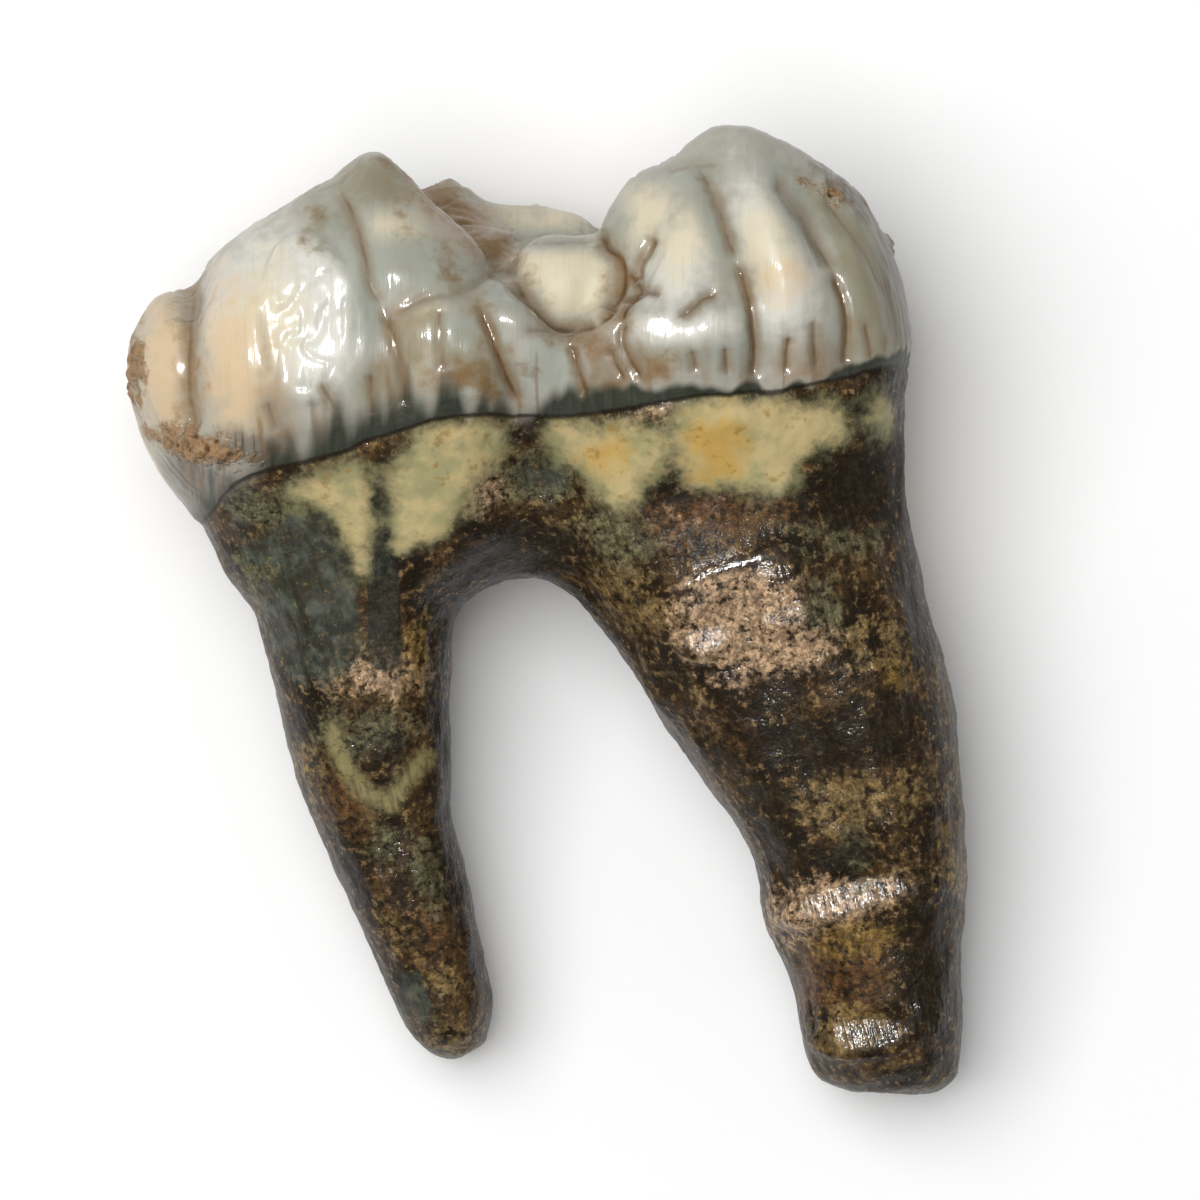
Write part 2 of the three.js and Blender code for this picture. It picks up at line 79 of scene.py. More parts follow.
# Furrows of the cheek side: their course, half width and depth in mm, and how brown they are, from 0 to 1.
CHEEK_FURROWS = (
    Furrow([(-8.1, 16.3), (-7.55, 15.2), (-7.2, 13.9), (-6.95, 12.7), (-6.5, 11.9)], 0.2, 0.08, 0.55),
    Furrow([(-6.5, 11.9), (-5.95, 10.2), (-5.65, 8.5), (-5.6, 7.6)], 0.17, 0.12, 0.75),
    Furrow([(-6.1, 11.5), (-4.8, 12.2), (-3.25, 12.5), (-2.35, 13.0), (-1.5, 13.1)], 0.2, 0.13, 0.35),
    Furrow([(-4.25, 11.9), (-4.3, 10.9), (-4.15, 9.2)], 0.28, 0.12, 0.5),
    Furrow([(-2.8, 12.0), (-2.25, 10.7), (-1.9, 9.7), (-1.6, 8.9), (-1.1, 8.0)], 0.18, 0.18, 0.9),
    Furrow([(-8.9, 8.9), (-8.4, 8.0), (-8.0, 6.8)], 0.15, 0.08, 0.5),
    Furrow([(-10.9, 8.2), (-10.6, 7.0)], 0.14, 0.06, 0.4),
    Furrow([(-6.95, 9.3), (-6.85, 7.3)], 0.12, 0.08, 0.6),
    Furrow([(-13.75, 12.7), (-13.95, 10.9), (-14.0, 8.8), (-13.7, 6.8)], 0.35, 0.16, 0.45),
    Furrow([(-1.65, 13.1), (-0.4, 11.7), (0.1, 11.2), (0.9, 11.05), (1.8, 11.1)], 0.2, 0.2, 0.8),
    Furrow([(1.8, 11.1), (2.25, 11.8), (2.6, 12.7), (2.5, 13.6), (2.0, 14.1), (1.75, 14.8)], 0.2, 0.24, 1.0),
    Furrow([(-1.7, 14.4), (0.0, 14.35), (1.7, 14.5)], 0.2, 0.12, 0.3),
    Furrow([(3.95, 14.6), (3.65, 14.0), (3.35, 13.5), (3.2, 12.9)], 0.18, 0.25, 0.8),
    Furrow([(2.7, 13.2), (3.1, 12.9), (3.3, 12.5), (2.9, 11.9), (2.7, 11.2)], 0.2, 0.18, 0.95),
    Furrow([(4.25, 12.3), (3.7, 12.55), (3.3, 12.5)], 0.12, 0.12, 0.6),
    Furrow([(6.45, 12.35), (5.9, 12.2), (5.4, 11.75), (4.9, 11.4)], 0.16, 0.18, 0.6),
    Furrow([(5.65, 17.2), (6.0, 16.6), (6.35, 15.9), (6.75, 14.7), (7.1, 13.6)], 0.2, 0.18, 0.6),
    Furrow(
        [(7.1, 13.6), (7.45, 12.7), (7.7, 11.7), (7.85, 10.7), (7.85, 9.7), (7.75, 8.9)], 0.17, 0.18, 0.75
    ),
    Furrow([(6.45, 17.3), (5.35, 17.3), (4.35, 17.0)], 0.2, 0.1, 0.25),
    Furrow([(8.6, 16.95), (9.2, 15.9), (9.85, 15.1), (10.35, 14.1), (10.85, 13.2)], 0.25, 0.14, 0.5),
    Furrow([(10.85, 13.2), (11.25, 12.2), (11.4, 11.3), (11.35, 10.3), (11.3, 9.4)], 0.16, 0.16, 0.75),
    Furrow([(10.0, 16.6), (11.2, 15.1), (12.25, 13.6), (12.95, 12.2), (13.2, 10.4)], 0.22, 0.1, 0.3),
    Furrow([(10.1, 11.3), (10.15, 10.5), (10.2, 9.3)], 0.13, 0.1, 0.6),
    Furrow([(9.15, 10.7), (9.05, 10.1), (9.0, 9.2)], 0.15, 0.12, 0.7),
    Furrow([(6.7, 10.3), (6.75, 9.8), (6.75, 9.2)], 0.12, 0.08, 0.6),
    Furrow([(5.4, 10.1), (5.5, 9.8), (5.6, 9.3)], 0.12, 0.1, 0.6),
    Furrow([(12.1, 11.2), (12.2, 10.5), (12.3, 9.7)], 0.13, 0.08, 0.55),
    Furrow([(2.9, 11.2), (2.7, 10.5), (3.1, 9.6), (3.5, 9.0)], 0.18, 0.14, 0.75),
    Furrow([(0.7, 10.5), (1.0, 9.5), (1.3, 8.5), (1.55, 7.8)], 0.17, 0.16, 0.9),
    Furrow([(2.2, 10.2), (2.45, 9.6), (2.8, 9.0)], 0.15, 0.12, 0.75),
    Furrow([(-1.0, 10.9), (0.1, 10.9), (1.0, 10.7)], 0.16, 0.08, 0.35),
)

# The edge of the enamel and the neck line below it, from the front end to the rear end of the cheek side.
ENAMEL_EDGE = (
    (-15.8, 3.2), (-13.7, 3.5), (-12.9, 4.4), (-12.2, 5.5), (-11.1, 6.5), (-9.7, 6.9), (-8.0, 7.3),
    (-6.8, 7.7), (-5.2, 8.2), (-3.9, 8.4), (-2.1, 8.1), (-0.9, 8.1), (0.3, 8.2), (1.3, 8.4), (2.3, 8.8),
    (3.4, 8.8), (4.8, 8.7), (5.9, 8.8), (6.5, 8.6), (7.1, 8.6), (7.8, 8.9), (8.2, 8.6), (9.2, 8.7),
    (10.0, 8.8), (10.8, 9.2), (11.4, 9.5), (12.2, 9.8), (13.3, 10.0), (14.5, 10.2),
)
NECK_LINE = (
    (-15.8, 2.1), (-13.7, 3.3), (-12.9, 4.1), (-12.2, 4.9), (-10.8, 5.5), (-9.4, 5.8), (-8.0, 6.2),
    (-6.8, 6.7), (-5.2, 7.2), (-3.9, 7.5), (-2.1, 7.6), (0.2, 7.5), (1.9, 7.7), (2.7, 7.8), (4.3, 8.1),
    (5.5, 8.3), (7.4, 8.5), (8.5, 8.5), (10.0, 8.8), (11.4, 9.1), (13.2, 9.5), (14.5, 9.3),
)
# How far the fringe of the enamel runs up and down in light pillars: long at the front, short at the rear.
FRINGE = ((-14.0, 1.0), (-6.0, 1.1), (-1.5, 0.8), (3.0, 0.35), (14.0, 0.25))

TUBERCLE = (
    (-1.7, 14.2), (-1.55, 13.3), (-1.1, 12.8), (-0.6, 12.0), (-0.25, 11.5), (0.45, 11.3), (1.2, 11.2),
    (1.9, 11.3), (2.25, 12.0), (2.55, 12.8), (2.45, 13.5), (2.1, 14.0), (1.65, 14.3),
)
CREAM_FRONT = (
    (-5.3, 6.5), (-4.5, 7.1), (-3.4, 7.2), (-2.2, 7.3), (-1.8, 6.7), (-2.0, 6.0), (-2.7, 5.5),
    (-3.2, 4.8), (-3.7, 3.6), (-4.5, 2.9), (-5.4, 2.8), (-5.8, 2.5), (-6.0, 3.6), (-6.1, 4.7),
    (-6.0, 5.5),
)
CREAM_FRONT_STRIP = (
    (-8.4, 5.3), (-7.8, 5.6), (-7.2, 5.5), (-7.0, 4.5), (-7.1, 3.3), (-7.2, 2.3), (-7.4, 1.6),
    (-7.6, 2.2), (-8.0, 3.2), (-8.3, 3.9), (-9.0, 4.2), (-9.6, 4.3), (-10.0, 4.7), (-9.3, 5.0),
)
CREAM_MIDDLE = (
    (-0.2, 6.7), (0.1, 7.2), (1.1, 7.3), (1.9, 7.0), (2.7, 7.2), (3.7, 7.2), (4.3, 6.8), (4.6, 6.2),
    (4.3, 5.8), (3.7, 5.3), (3.2, 4.6), (2.7, 4.2), (2.2, 4.3), (1.8, 4.9), (1.2, 5.7), (0.5, 6.1),
)
CREAM_REAR = (
    (5.1, 7.9), (5.9, 8.3), (7.1, 8.2), (8.3, 8.1), (9.8, 7.9), (10.8, 7.9), (11.3, 7.4), (11.3, 6.9),
    (10.2, 6.5), (9.4, 5.8), (9.2, 5.2), (8.6, 4.7), (7.7, 4.8), (6.7, 5.0), (5.8, 4.9), (5.3, 5.3),
    (4.8, 6.2), (4.7, 7.0),
)
SLATE_STRIPE = (
    (-7.0, 5.7), (-6.4, 5.9), (-6.1, 5.1), (-6.0, 2.8), (-5.8, 0.4), (-5.7, -2.0), (-6.9, -2.0),
    (-7.1, 0.4), (-7.2, 2.2), (-7.0, 3.9),
)
SLATE_FIELD = (
    (-10.2, 3.8), (-9.5, 4.0), (-8.5, 3.9), (-8.1, 3.3), (-7.8, 2.4), (-7.5, 1.7), (-7.4, 0.9),
    (-7.8, 0.5), (-8.8, 0.9), (-9.6, 1.3), (-10.7, 1.9), (-11.6, 2.3), (-11.8, 2.8), (-10.9, 3.2),
)
PALE_V = ((-8.4, -4.6), (-8.0, -5.8), (-7.2, -6.8), (-6.3, -7.3), (-6.0, -7.0), (-5.3, -6.1), (-4.8, -5.5))
PALE_V_HALF_WIDTH = 0.33
# The rear root steps out below this low, worn ridge.
REAR_RIDGE = ((3.4, 0.6), (3.9, 0.75), (5.0, 1.3), (6.4, 1.75), (7.7, 2.4), (9.1, 2.7), (10.5, 2.9))
# Low growth rings round the rear root's tip, with fine grooves across them.
TIP_RINGS = (
    ((8.6, -11.0), (9.6, -11.4), (11.0, -11.7), (12.5, -11.5), (13.8, -10.9), (15.2, -10.2)),
    ((9.9, -15.8), (11.2, -16.7), (12.4, -16.6), (13.4, -16.2), (14.8, -15.6)),
)
# Where the front cusp's enamel is finely wrinkled.
WRINKLED = Patch(-9.3, 11.6, 2.0, 3.6, 6)
# Small flats that wear has left: on the front cusp, along the ridge, below it, and on the two growth rings.
WORN_FLATS = (
    Patch(-9.4, 11.4, 1.9, 3.4), Patch(6.5, 1.65, 3.0, 0.42, 21), Patch(6.0, -1.0, 1.2, 0.9),
    Patch(8.75, -0.15, 1.0, 0.6, 10), Patch(11.4, -11.0, 3.0, 0.9, 17), Patch(12.1, -16.2, 2.2, 0.95, 8),
)
# The flats lean towards the front end and the cusps: by how much per mm at the tooth's middle, and how much
# that grows with each mm to the rear and down the roots.
FLAT_LEAN, FLAT_LEAN_GROWTH = 0.037, 0.0024
# How far wear can move the surface, and how far a flat stands above the mean height of its place, in mm.
FLAT_LIMIT, FLAT_RISE = 0.65, 0.1
# Heights and depths of the smaller relief, in mm.
ENAMEL_SWELL, ENAMEL_UNEVENNESS = 0.05, 0.02
CHEWING_SWELL, CHEWING_CREASE = 0.1, 0.13
NECK_GROOVE = 0.06
CRUST_RISE, CRUST_LUMPS = 0.14, 0.36

# Where each mineral has stained the tooth, and where some stains also paint shade: outlines, and patches with
# half sizes in mm and lean in degrees.
# Each key is also the mesh attribute that holds how far inside the stain a point lies, in mm.
STAINS = {
    "enamel_white": (
        Patch(-12.0, 12.4, 1.3, 2.6, -28), Patch(-9.4, 11.6, 2.1, 3.2), Patch(4.6, 13.3, 1.4, 1.5),
        Patch(8.0, 15.0, 0.8, 2.2, 15), Patch(9.1, 12.4, 1.2, 1.9, 5), Patch(4.6, 11.0, 2.0, 0.6, 5),
        Patch(0.4, 12.9, 1.3, 0.9), Patch(-0.1, 9.5, 0.8, 0.9),
    ),
    "enamel_cream": (
        TUBERCLE, Patch(3.6, 15.3, 1.2, 1.1, 30), Patch(4.9, 14.2, 0.9, 1.2),
        Patch(8.4, 14.0, 0.9, 1.6, 10), Patch(-4.9, 10.9, 0.6, 1.3), Patch(-10.9, 11.0, 1.2, 2.4),
        Patch(0.2, 15.2, 1.8, 0.5), Patch(-6.0, 14.7, 0.9, 0.8),
    ),
    "enamel_warm": (
        Patch(-14.7, 9.8, 1.2, 3.2), Patch(-12.2, 9.6, 1.2, 2.9, 8), Patch(-4.9, 10.6, 0.4, 1.0),
        Patch(8.4, 12.9, 0.9, 0.5),
    ),
    # Translucent blue-grey enamel, and painted shade in the narrow strips beside the furrows.
    "enamel_blue": (
        Patch(-5.2, 13.3, 3.0, 1.2, -8), Patch(0.0, 9.5, 0.9, 1.1), Patch(-3.2, 10.9, 1.3, 0.9),
        Patch(5.35, 17.0, 1.3, 0.35), Patch(6.5, 14.6, 0.35, 2.2, 20), Patch(2.4, 14.9, 0.7, 1.0, -20),
        Patch(9.1, 16.0, 0.45, 1.7, 30), Patch(0.0, 14.4, 1.7, 0.25), Patch(7.7, 9.8, 0.5, 0.6),
        Patch(-7.2, 12.3, 0.6, 2.4, 5), Patch(-1.9, 12.2, 0.8, 0.6, -40), Patch(-3.4, 8.9, 1.4, 0.6),
        Patch(5.3, 9.8, 1.9, 0.5, 4), Patch(-8.2, 14.9, 0.6, 1.5, 10),
    ),
    # Dun enamel, and at the rear end, where the crown turns away from the light, partly painted shade.
    "enamel_dun": (
        Patch(-6.7, 16.7, 1.9, 1.0), Patch(12.5, 12.4, 1.5, 3.4, 14), Patch(-8.0, 15.6, 0.35, 0.7, 20),
        Patch(11.0, 15.2, 0.6, 1.8, 35), Patch(-3.0, 9.6, 1.3, 0.9), Patch(-5.2, 10.6, 0.9, 1.3),
        Patch(3.4, 9.9, 1.2, 0.6), Patch(-13.9, 12.6, 0.5, 1.2), Patch(-9.0, 15.0, 0.4, 1.0, 10),
        Patch(-6.4, 8.9, 1.0, 0.8),
    ),
    "enamel_brown": (
        Patch(-3.7, 15.5, 2.9, 0.5, -44), Patch(-2.0, 14.0, 0.5, 0.7, -20), Patch(1.2, 10.6, 1.1, 0.5, -10),
        Patch(2.3, 8.95, 0.6, 0.45), Patch(4.3, 9.5, 0.6, 0.22), Patch(-3.0, 9.2, 1.3, 0.45),
        Patch(-3.95, 13.1, 0.3, 0.45, 20), Patch(2.6, 12.2, 0.35, 1.1), Patch(-5.85, 15.4, 0.14, 0.12),
        Patch(-5.6, 14.8, 0.14, 0.12), Patch(-9.3, 14.0, 0.16, 0.2), Patch(-9.25, 15.5, 0.1, 0.08),
        Patch(-13.9, 10.4, 0.25, 3.0), Patch(-2.35, 10.75, 0.16, 0.5, 15), Patch(10.2, 9.5, 0.2, 0.6),
        Patch(2.0, 15.9, 0.2, 0.2), Patch(-1.0, 13.0, 0.1, 0.1), Patch(-2.6, 8.7, 0.5, 0.3),
    ),
    "enamel_rust": (
        Patch(1.8, 10.3, 0.9, 0.8), Patch(2.6, 11.9, 0.5, 1.4), Patch(1.6, 8.6, 0.5, 0.5),
        Patch(3.7, 9.4, 1.3, 0.6), Patch(-3.5, 15.2, 2.8, 0.9, -44), Patch(-6.2, 10.2, 0.35, 1.7, -12),
        Patch(-3.9, 9.1, 1.2, 0.45), Patch(-13.9, 9.6, 0.35, 3.0), Patch(9.2, 9.6, 0.9, 0.7),
        Patch(-10.6, 8.3, 0.6, 1.6, 10), Patch(-2.4, 10.6, 0.35, 1.6, 20), Patch(2.4, 14.0, 0.35, 0.8, 20),
    ),
    # Thin streaked grey enamel by the neck at the front; the patches at the rear end paint shade along its
    # rim.
    "enamel_grey": (
        Patch(-13.5, 4.9, 1.9, 1.0, -42), Patch(-11.5, 6.4, 1.2, 0.5, -20), Patch(13.7, 12.0, 0.7, 3.0, 14),
        Patch(11.7, 16.0, 0.4, 1.9, 47),
    ),
    "crust": (
        Patch(-13.6, 6.5, 1.7, 0.55, -18), Patch(10.7, 16.2, 0.6, 0.26, -25), Patch(-15.95, 9.3, 0.25, 1.2),
    ),
    "root_tan": (
        Patch(-6.3, -2.3, 2.3, 1.2, 6), Patch(3.65, -0.05, 1.0, 0.7), Patch(12.6, -1.1, 1.2, 0.9),
        Patch(11.05, -7.3, 1.5, 1.0, 10), Patch(13.7, -7.1, 0.7, 0.8), Patch(15.8, -10.2, 0.5, 0.7),
        Patch(9.2, -12.3, 0.7, 0.6), Patch(-9.6, -5.5, 0.35, 1.3, 15), Patch(-6.2, -12.0, 0.4, 0.8, 20),
        Patch(-4.2, -14.1, 0.6, 0.6), Patch(-3.7, -16.8, 1.3, 0.5, 5), Patch(2.4, 1.3, 0.9, 0.6, -30),
        Patch(11.6, -11.0, 2.6, 0.6, 12), Patch(0.9, 3.1, 0.8, 0.4), Patch(11.6, -15.9, 1.2, 0.8),
        Patch(-5.2, -0.9, 0.5, 0.9),
    ),
    "root_pink": (
        Patch(7.3, -0.3, 2.3, 2.1), Patch(4.0, 7.7, 1.1, 0.4, 12), Patch(4.8, 6.4, 0.4, 1.0),
        Patch(-2.9, 5.0, 0.9, 0.8), Patch(9.6, -1.4, 1.2, 0.9, 10), Patch(10.4, -11.3, 2.3, 0.9, 12),
        Patch(-6.2, -2.3, 1.7, 0.6, 6),
    ),
    "root_russet": (
        Patch(7.3, 4.0, 2.2, 0.8), Patch(7.7, -5.1, 0.7, 0.45), Patch(10.0, -13.7, 0.5, 0.7),
        Patch(-4.35, -12.1, 0.5, 1.1, 15), Patch(-8.1, -7.0, 0.7, 0.8), Patch(11.0, -13.8, 1.7, 1.6),
        Patch(-3.4, 6.4, 0.3, 0.32), Patch(4.0, 3.4, 1.6, 0.9, -10), Patch(-8.0, 0.5, 1.2, 0.4),
    ),
    "root_ochre": (
        Patch(-5.1, -1.6, 0.4, 0.9), Patch(11.6, -12.5, 1.6, 0.7, 5), Patch(15.4, -8.9, 0.4, 0.9),
        Patch(13.5, -2.5, 0.5, 0.6), Patch(-9.4, -5.5, 0.25, 0.35), Patch(-7.5, -1.2, 0.4, 0.3),
    ),
    "root_olive": (
        Patch(-11.0, 3.9, 1.5, 0.7, -20), Patch(-4.7, -9.9, 0.6, 1.2, 12), Patch(-6.4, -8.9, 0.6, 0.6),
        Patch(10.5, 0.35, 0.7, 0.8), Patch(11.8, -9.4, 0.5, 0.9, 10), Patch(12.7, 7.6, 0.5, 0.7),
        Patch(-0.4, 5.2, 1.4, 0.8), Patch(2.7, 2.9, 1.5, 0.9, -20), Patch(11.1, 2.9, 1.6, 0.5),
        Patch(-7.6, -4.6, 2.2, 0.9), Patch(-11.0, 1.2, 0.8, 1.6, 20),
    ),
    # Near-black manganese stain, and painted shade in the strips down the right sides of both roots.
    "root_black": (
        Patch(11.5, 4.8, 2.3, 1.5, 8), Patch(12.8, 7.4, 1.2, 2.2), Patch(8.7, -3.2, 2.3, 0.6, 24),
        Patch(10.6, -5.0, 4.4, 1.2, 6), Patch(4.1, 4.9, 1.0, 0.7), Patch(-1.4, 2.3, 2.6, 1.3),
        Patch(8.6, -8.3, 0.9, 2.1, 12), Patch(14.5, -13.4, 1.1, 3.2, 4), Patch(-7.6, -10.3, 0.6, 2.3, 22),
        Patch(-5.9, -10.9, 0.35, 1.2, 10), Patch(-3.6, -9.5, 0.5, 3.2, 12), Patch(-4.1, -4.0, 0.3, 3.6, 3),
        Patch(-9.6, -4.0, 0.6, 1.4, 20), Patch(-6.3, -5.2, 0.9, 0.5), Patch(13.0, -3.6, 1.6, 0.7),
        Patch(11.4, -9.4, 3.2, 0.5, 8), Patch(13.9, 1.0, 0.6, 3.4, 6),
    ),
    "root_slate": (
        SLATE_FIELD, Patch(-9.2, -0.2, 1.9, 2.6, 12), Patch(-5.3, -14.8, 0.7, 1.0, 20),
        Patch(-11.6, 2.6, 1.0, 0.4, -60), Patch(-4.7, 3.3, 0.9, 0.6, 30), Patch(-0.3, 5.3, 0.9, 0.5),
    ),
    "root_stripe": (SLATE_STRIPE,),
    "root_pale": (),
    "root_cream": (CREAM_FRONT, CREAM_FRONT_STRIP, CREAM_MIDDLE, CREAM_REAR, Patch(12.8, 7.6, 0.35, 0.5)),
    "root_ochre_cream": (Patch(6.4, 6.3, 1.1, 1.2), Patch(2.2, 6.1, 0.6, 0.5)),
}

# On the sides that those places don't reach, each stain follows a noise: its size in mm, and how rare it is.
HIDDEN_STAINS = {
    "enamel_white": (4.0, 0.12), "enamel_cream": (4.0, 0.05), "enamel_warm": (5.0, 0.12),
    "enamel_blue": (4.0, 0.1), "enamel_dun": (3.5, 0.2), "enamel_rust": (3.0, 0.3),
    "enamel_brown": (1.6, 0.5), "enamel_grey": (3.0, 0.7),
    "crust": (2.5, 0.6),
    "root_tan": (3.0, 0.18), "root_pink": (4.0, 0.22), "root_russet": (3.0, 0.2), "root_ochre": (2.5, 0.3),
    "root_olive": (3.0, 0.2), "root_black": (4.5, 0.12), "root_slate": (4.0, 0.2), "root_stripe": (2.0, 0.6),
    "root_pale": (1.5, 0.5), "root_cream": (4.5, 0.26), "root_ochre_cream": (2.5, 0.3),
}

# The stains from the bottom one up: how far clouds and grains break the edge, the depth at which it is full
# and the softness of its edge, all in mm, and its strength. One that is full at a small depth stays speckled.
ENAMEL_LAYERS = (
    Layer("enamel_white", 1.8, 0.3, 3.0, 0.8, 0.95), Layer("enamel_cream", 1.6, 0.3, 3.0, 0.7, 0.85),
    Layer("enamel_warm", 2.0, 0.4, 3.0, 0.9, 0.85), Layer("enamel_blue", 1.4, 0.2, 3.0, 0.5, 0.85),
    Layer("enamel_dun", 1.6, 0.4, 3.0, 0.6, 0.85), Layer("enamel_grey", 1.4, 0.4, 3.0, 0.4, 0.8),
    Layer("enamel_rust", 1.6, 0.4, 0.6, 0.6, 0.5), Layer("enamel_brown", 1.4, 1.0, 0.4, 0.45, 0.75),
)
ROOT_LAYERS = (
    Layer("root_russet", 3.0, 1.6, 0.3, 0.5, 0.75), Layer("root_tan", 3.2, 2.0, 0.15, 0.4, 0.8),
    Layer("root_pink", 3.4, 2.6, 0.6, 0.6, 0.85), Layer("root_ochre", 2.0, 1.2, 0.35, 0.5, 0.7),
    Layer("root_olive", 2.2, 1.2, 0.35, 0.4, 0.8), Layer("root_black", 2.4, -1.8, 0.45, 0.4, 0.9),
    Layer("root_slate", 1.2, -0.6, 0.5, 0.3, 0.85), Layer("root_stripe", 0.35, 0.15, 1.0, 0.1, 0.85),
    Layer("root_pale", 0.4, 0.1, 1.0, 0.3, 0.75),
)
CRUST_LAYER = Layer("crust", 1.4, 1.0, 3.0, 0.2, 1.0)
CREAM_LAYER = Layer("root_cream", 1.3, 0.5, 3.0, 0.45, 1.0)
YELLOW_LAYER = Layer("root_ochre_cream", 2.2, 0.6, 0.8, 0.7, 0.9)


def linear(hex_colour):
    """The linear red, green and blue of an sRGB hex colour."""
    parts = [int(hex_colour[i:i + 2], 16) / 255 for i in (1, 3, 5)]
    return tuple(c / 12.92 if c <= 0.04045 else ((c + 0.055) / 1.055) ** 2.4 for c in parts)


def colour(name, description, hex_colour):
    """A colour that a user can change."""
    return FloatVectorProperty(
        name=name, description=description, default=linear(hex_colour),
        subtype="COLOR", size=3, min=0.0, max=1.0,
    )


def length(name, description, millimetres):
    """A length that a user can change."""
    return FloatProperty(
        name=name, description=description, default=millimetres * MM, min=0.0, unit="LENGTH", precision=5
    )


def power(name, description, watts):
    """A light's power that a user can change."""
    return FloatProperty(name=name, description=description, default=watts, min=0.0, unit="POWER")


class FossilToothSizes(bpy.types.PropertyGroup):
    """Sizes of the tooth's mesh and relief."""

    mesh_step: length("Mesh step", "Spacing of the mesh on the roots, which the crown halves", 0.28)
    levelling: IntProperty(name="Levelling", description="Passes that even out the facets", default=32)
    enamel_lip: length("Enamel lip", "How far the enamel's edge stands over the neck", 0.12)
    ripple: length("Ripple", "Height of the enamel's upright ripples", 0.03)
    wrinkle: length("Wrinkle", "Depth of the wrinkles on the front cusp", 0.07)
    root_swell: length("Root swell", "Height of the roots' low swellings", 0.12)
    root_grit: length("Root grit", "Height of the roots' coarse grit", 0.05)
    root_groove: length("Root groove", "Depth of the grooves that run along the roots", 0.04)
    ridge: length("Ridge", "Height of the step below the rear root's ridge", 0.3)
    ring: length("Ring", "Height of the growth rings at the rear root's tip", 0.16)


class FossilToothColours(bpy.types.PropertyGroup):
    """Colours of the enamel and of the minerals in the roots, some of which also paint shade."""

    enamel: colour("Enamel", "Greyish white enamel of the lower crown", "#a6a296")
    enamel_white: colour("White enamel", "Thick milky enamel on the lobes", "#d2cfc5")
    enamel_cream: colour("Cream enamel", "Cream enamel of the cusps and the tubercle", "#d6ccb0")
    enamel_warm: colour("Warm enamel", "Tan enamel of the front end", "#d4ba95")
    # Blue-grey enamel also paints the shade beside the furrows.
    enamel_blue: colour("Blue-grey enamel", "Translucent enamel over dark dentine", "#989c90")
    # Dun enamel also paints part of the shade at the rear end.
    enamel_dun: colour("Dun enamel", "Worn greenish grey enamel", "#867f67")
    enamel_brown: colour("Brown enamel", "Enamel stained by iron", "#7a5c37")
    enamel_rust: colour("Rust veil", "Warm iron stain that has soaked into the enamel", "#94714a")
    # Grey enamel also paints the shade along the rear end's rim.
    enamel_grey: colour("Grey enamel", "Thin streaked enamel by the neck", "#777065")
    crust: colour("Crust", "Gritty brown crust left on the enamel", "#9c7d5b")
    band: colour("Neck band", "Slate-black band between the enamel and the neck line", "#35392f")
    # Dark umber also paints the shade in the crust's hollows.
    root_dark: colour("Dark umber", "Manganese-dark ground of the roots", "#1d1509")
    root_umber: colour("Umber", "Brown ground of the roots", "#4e3a21")
    root_grit: colour("Pale grit", "Light grains in the brown ground", "#8c7049")
    root_tan: colour("Tan", "Tan mottle of the roots", "#8c7449")
    root_pink: colour("Pinkish tan", "Pinkish tan crust of the roots", "#c6a582")
    root_russet: colour("Russet", "Reddish brown, rich in iron", "#6a4828")
    root_ochre: colour("Ochre", "Yellow ochre stain", "#8e7035")
    root_olive: colour("Olive", "Greenish grey and olive stain", "#6d6b4d")
    # Black also paints the shade down the roots' right sides.
    root_black: colour("Black", "Near-black manganese stain", "#282014")
    root_slate: colour("Slate", "Blue-grey slate stain", "#32352c")
    root_slate_light: colour("Light slate", "Bluish clouds in the slate", "#4c544b")
    root_stripe: colour("Slate stripe", "Dark slate stripe down the front root", "#30332c")
    root_pale: colour("Pale stain", "Pale olive lines on the front root", "#938a5e")
    root_cream: colour("Cream dentine", "Smooth unstained dentine", "#bfac7c")
    root_cream_green: colour("Greenish dentine", "Dentine that a stain has begun to reach", "#98956c")
    root_ochre_cream: colour("Yellow dentine", "Dentine stained yellow", "#c09b50")


class FossilStage(bpy.types.PropertyGroup):
    """Floor and light."""

    floor: colour("Floor", "Matte white card", "#f4f4f4")
    floor_width: length("Floor width", "Side of the floor", 1200)
    panel_power: power("Panel", "Power of the soft panel", 2.4)
    panel_width: length("Panel width", "Side of the panel", 400)
    lamp_power: power("Lamp", "Power of the lamp that gives the gloss", 3.6)
    lamp_width: length("Lamp width", "Side of the lamp", 55)
    surround: FloatProperty(name="Surround", description="Strength of the even light all round", default=0.28)


def resampled(path, steps=4):
    """The path with its corners rounded, by a curve through its points."""
    p = np.array(path, float)
    p = np.vstack([2 * p[0] - p[1], p, 2 * p[-1] - p[-2]])
    rows = []
    for a, b, c, d in zip(p[:-3], p[1:-2], p[2:-1], p[3:]):
        for t in np.arange(steps) / steps:
            bend = 2 * a - 5 * b + 4 * c - d
            rows.append(0.5 * (2 * b + (c - a) * t + bend * t * t + (3 * b - a - 3 * c + d) * t ** 3))
    return np.vstack([rows, p[-2]])


def ramp(low, high, value):
    """0 below low, 1 above high, and smooth between."""
    t = np.clip((value - low) / (high - low), 0.0, 1.0)
    return t * t * (3 - 2 * t)


def bell(value, width):
    """1 where value is 0, and falling off smoothly within about width on both sides."""
    return np.exp(-(value / width) ** 2)


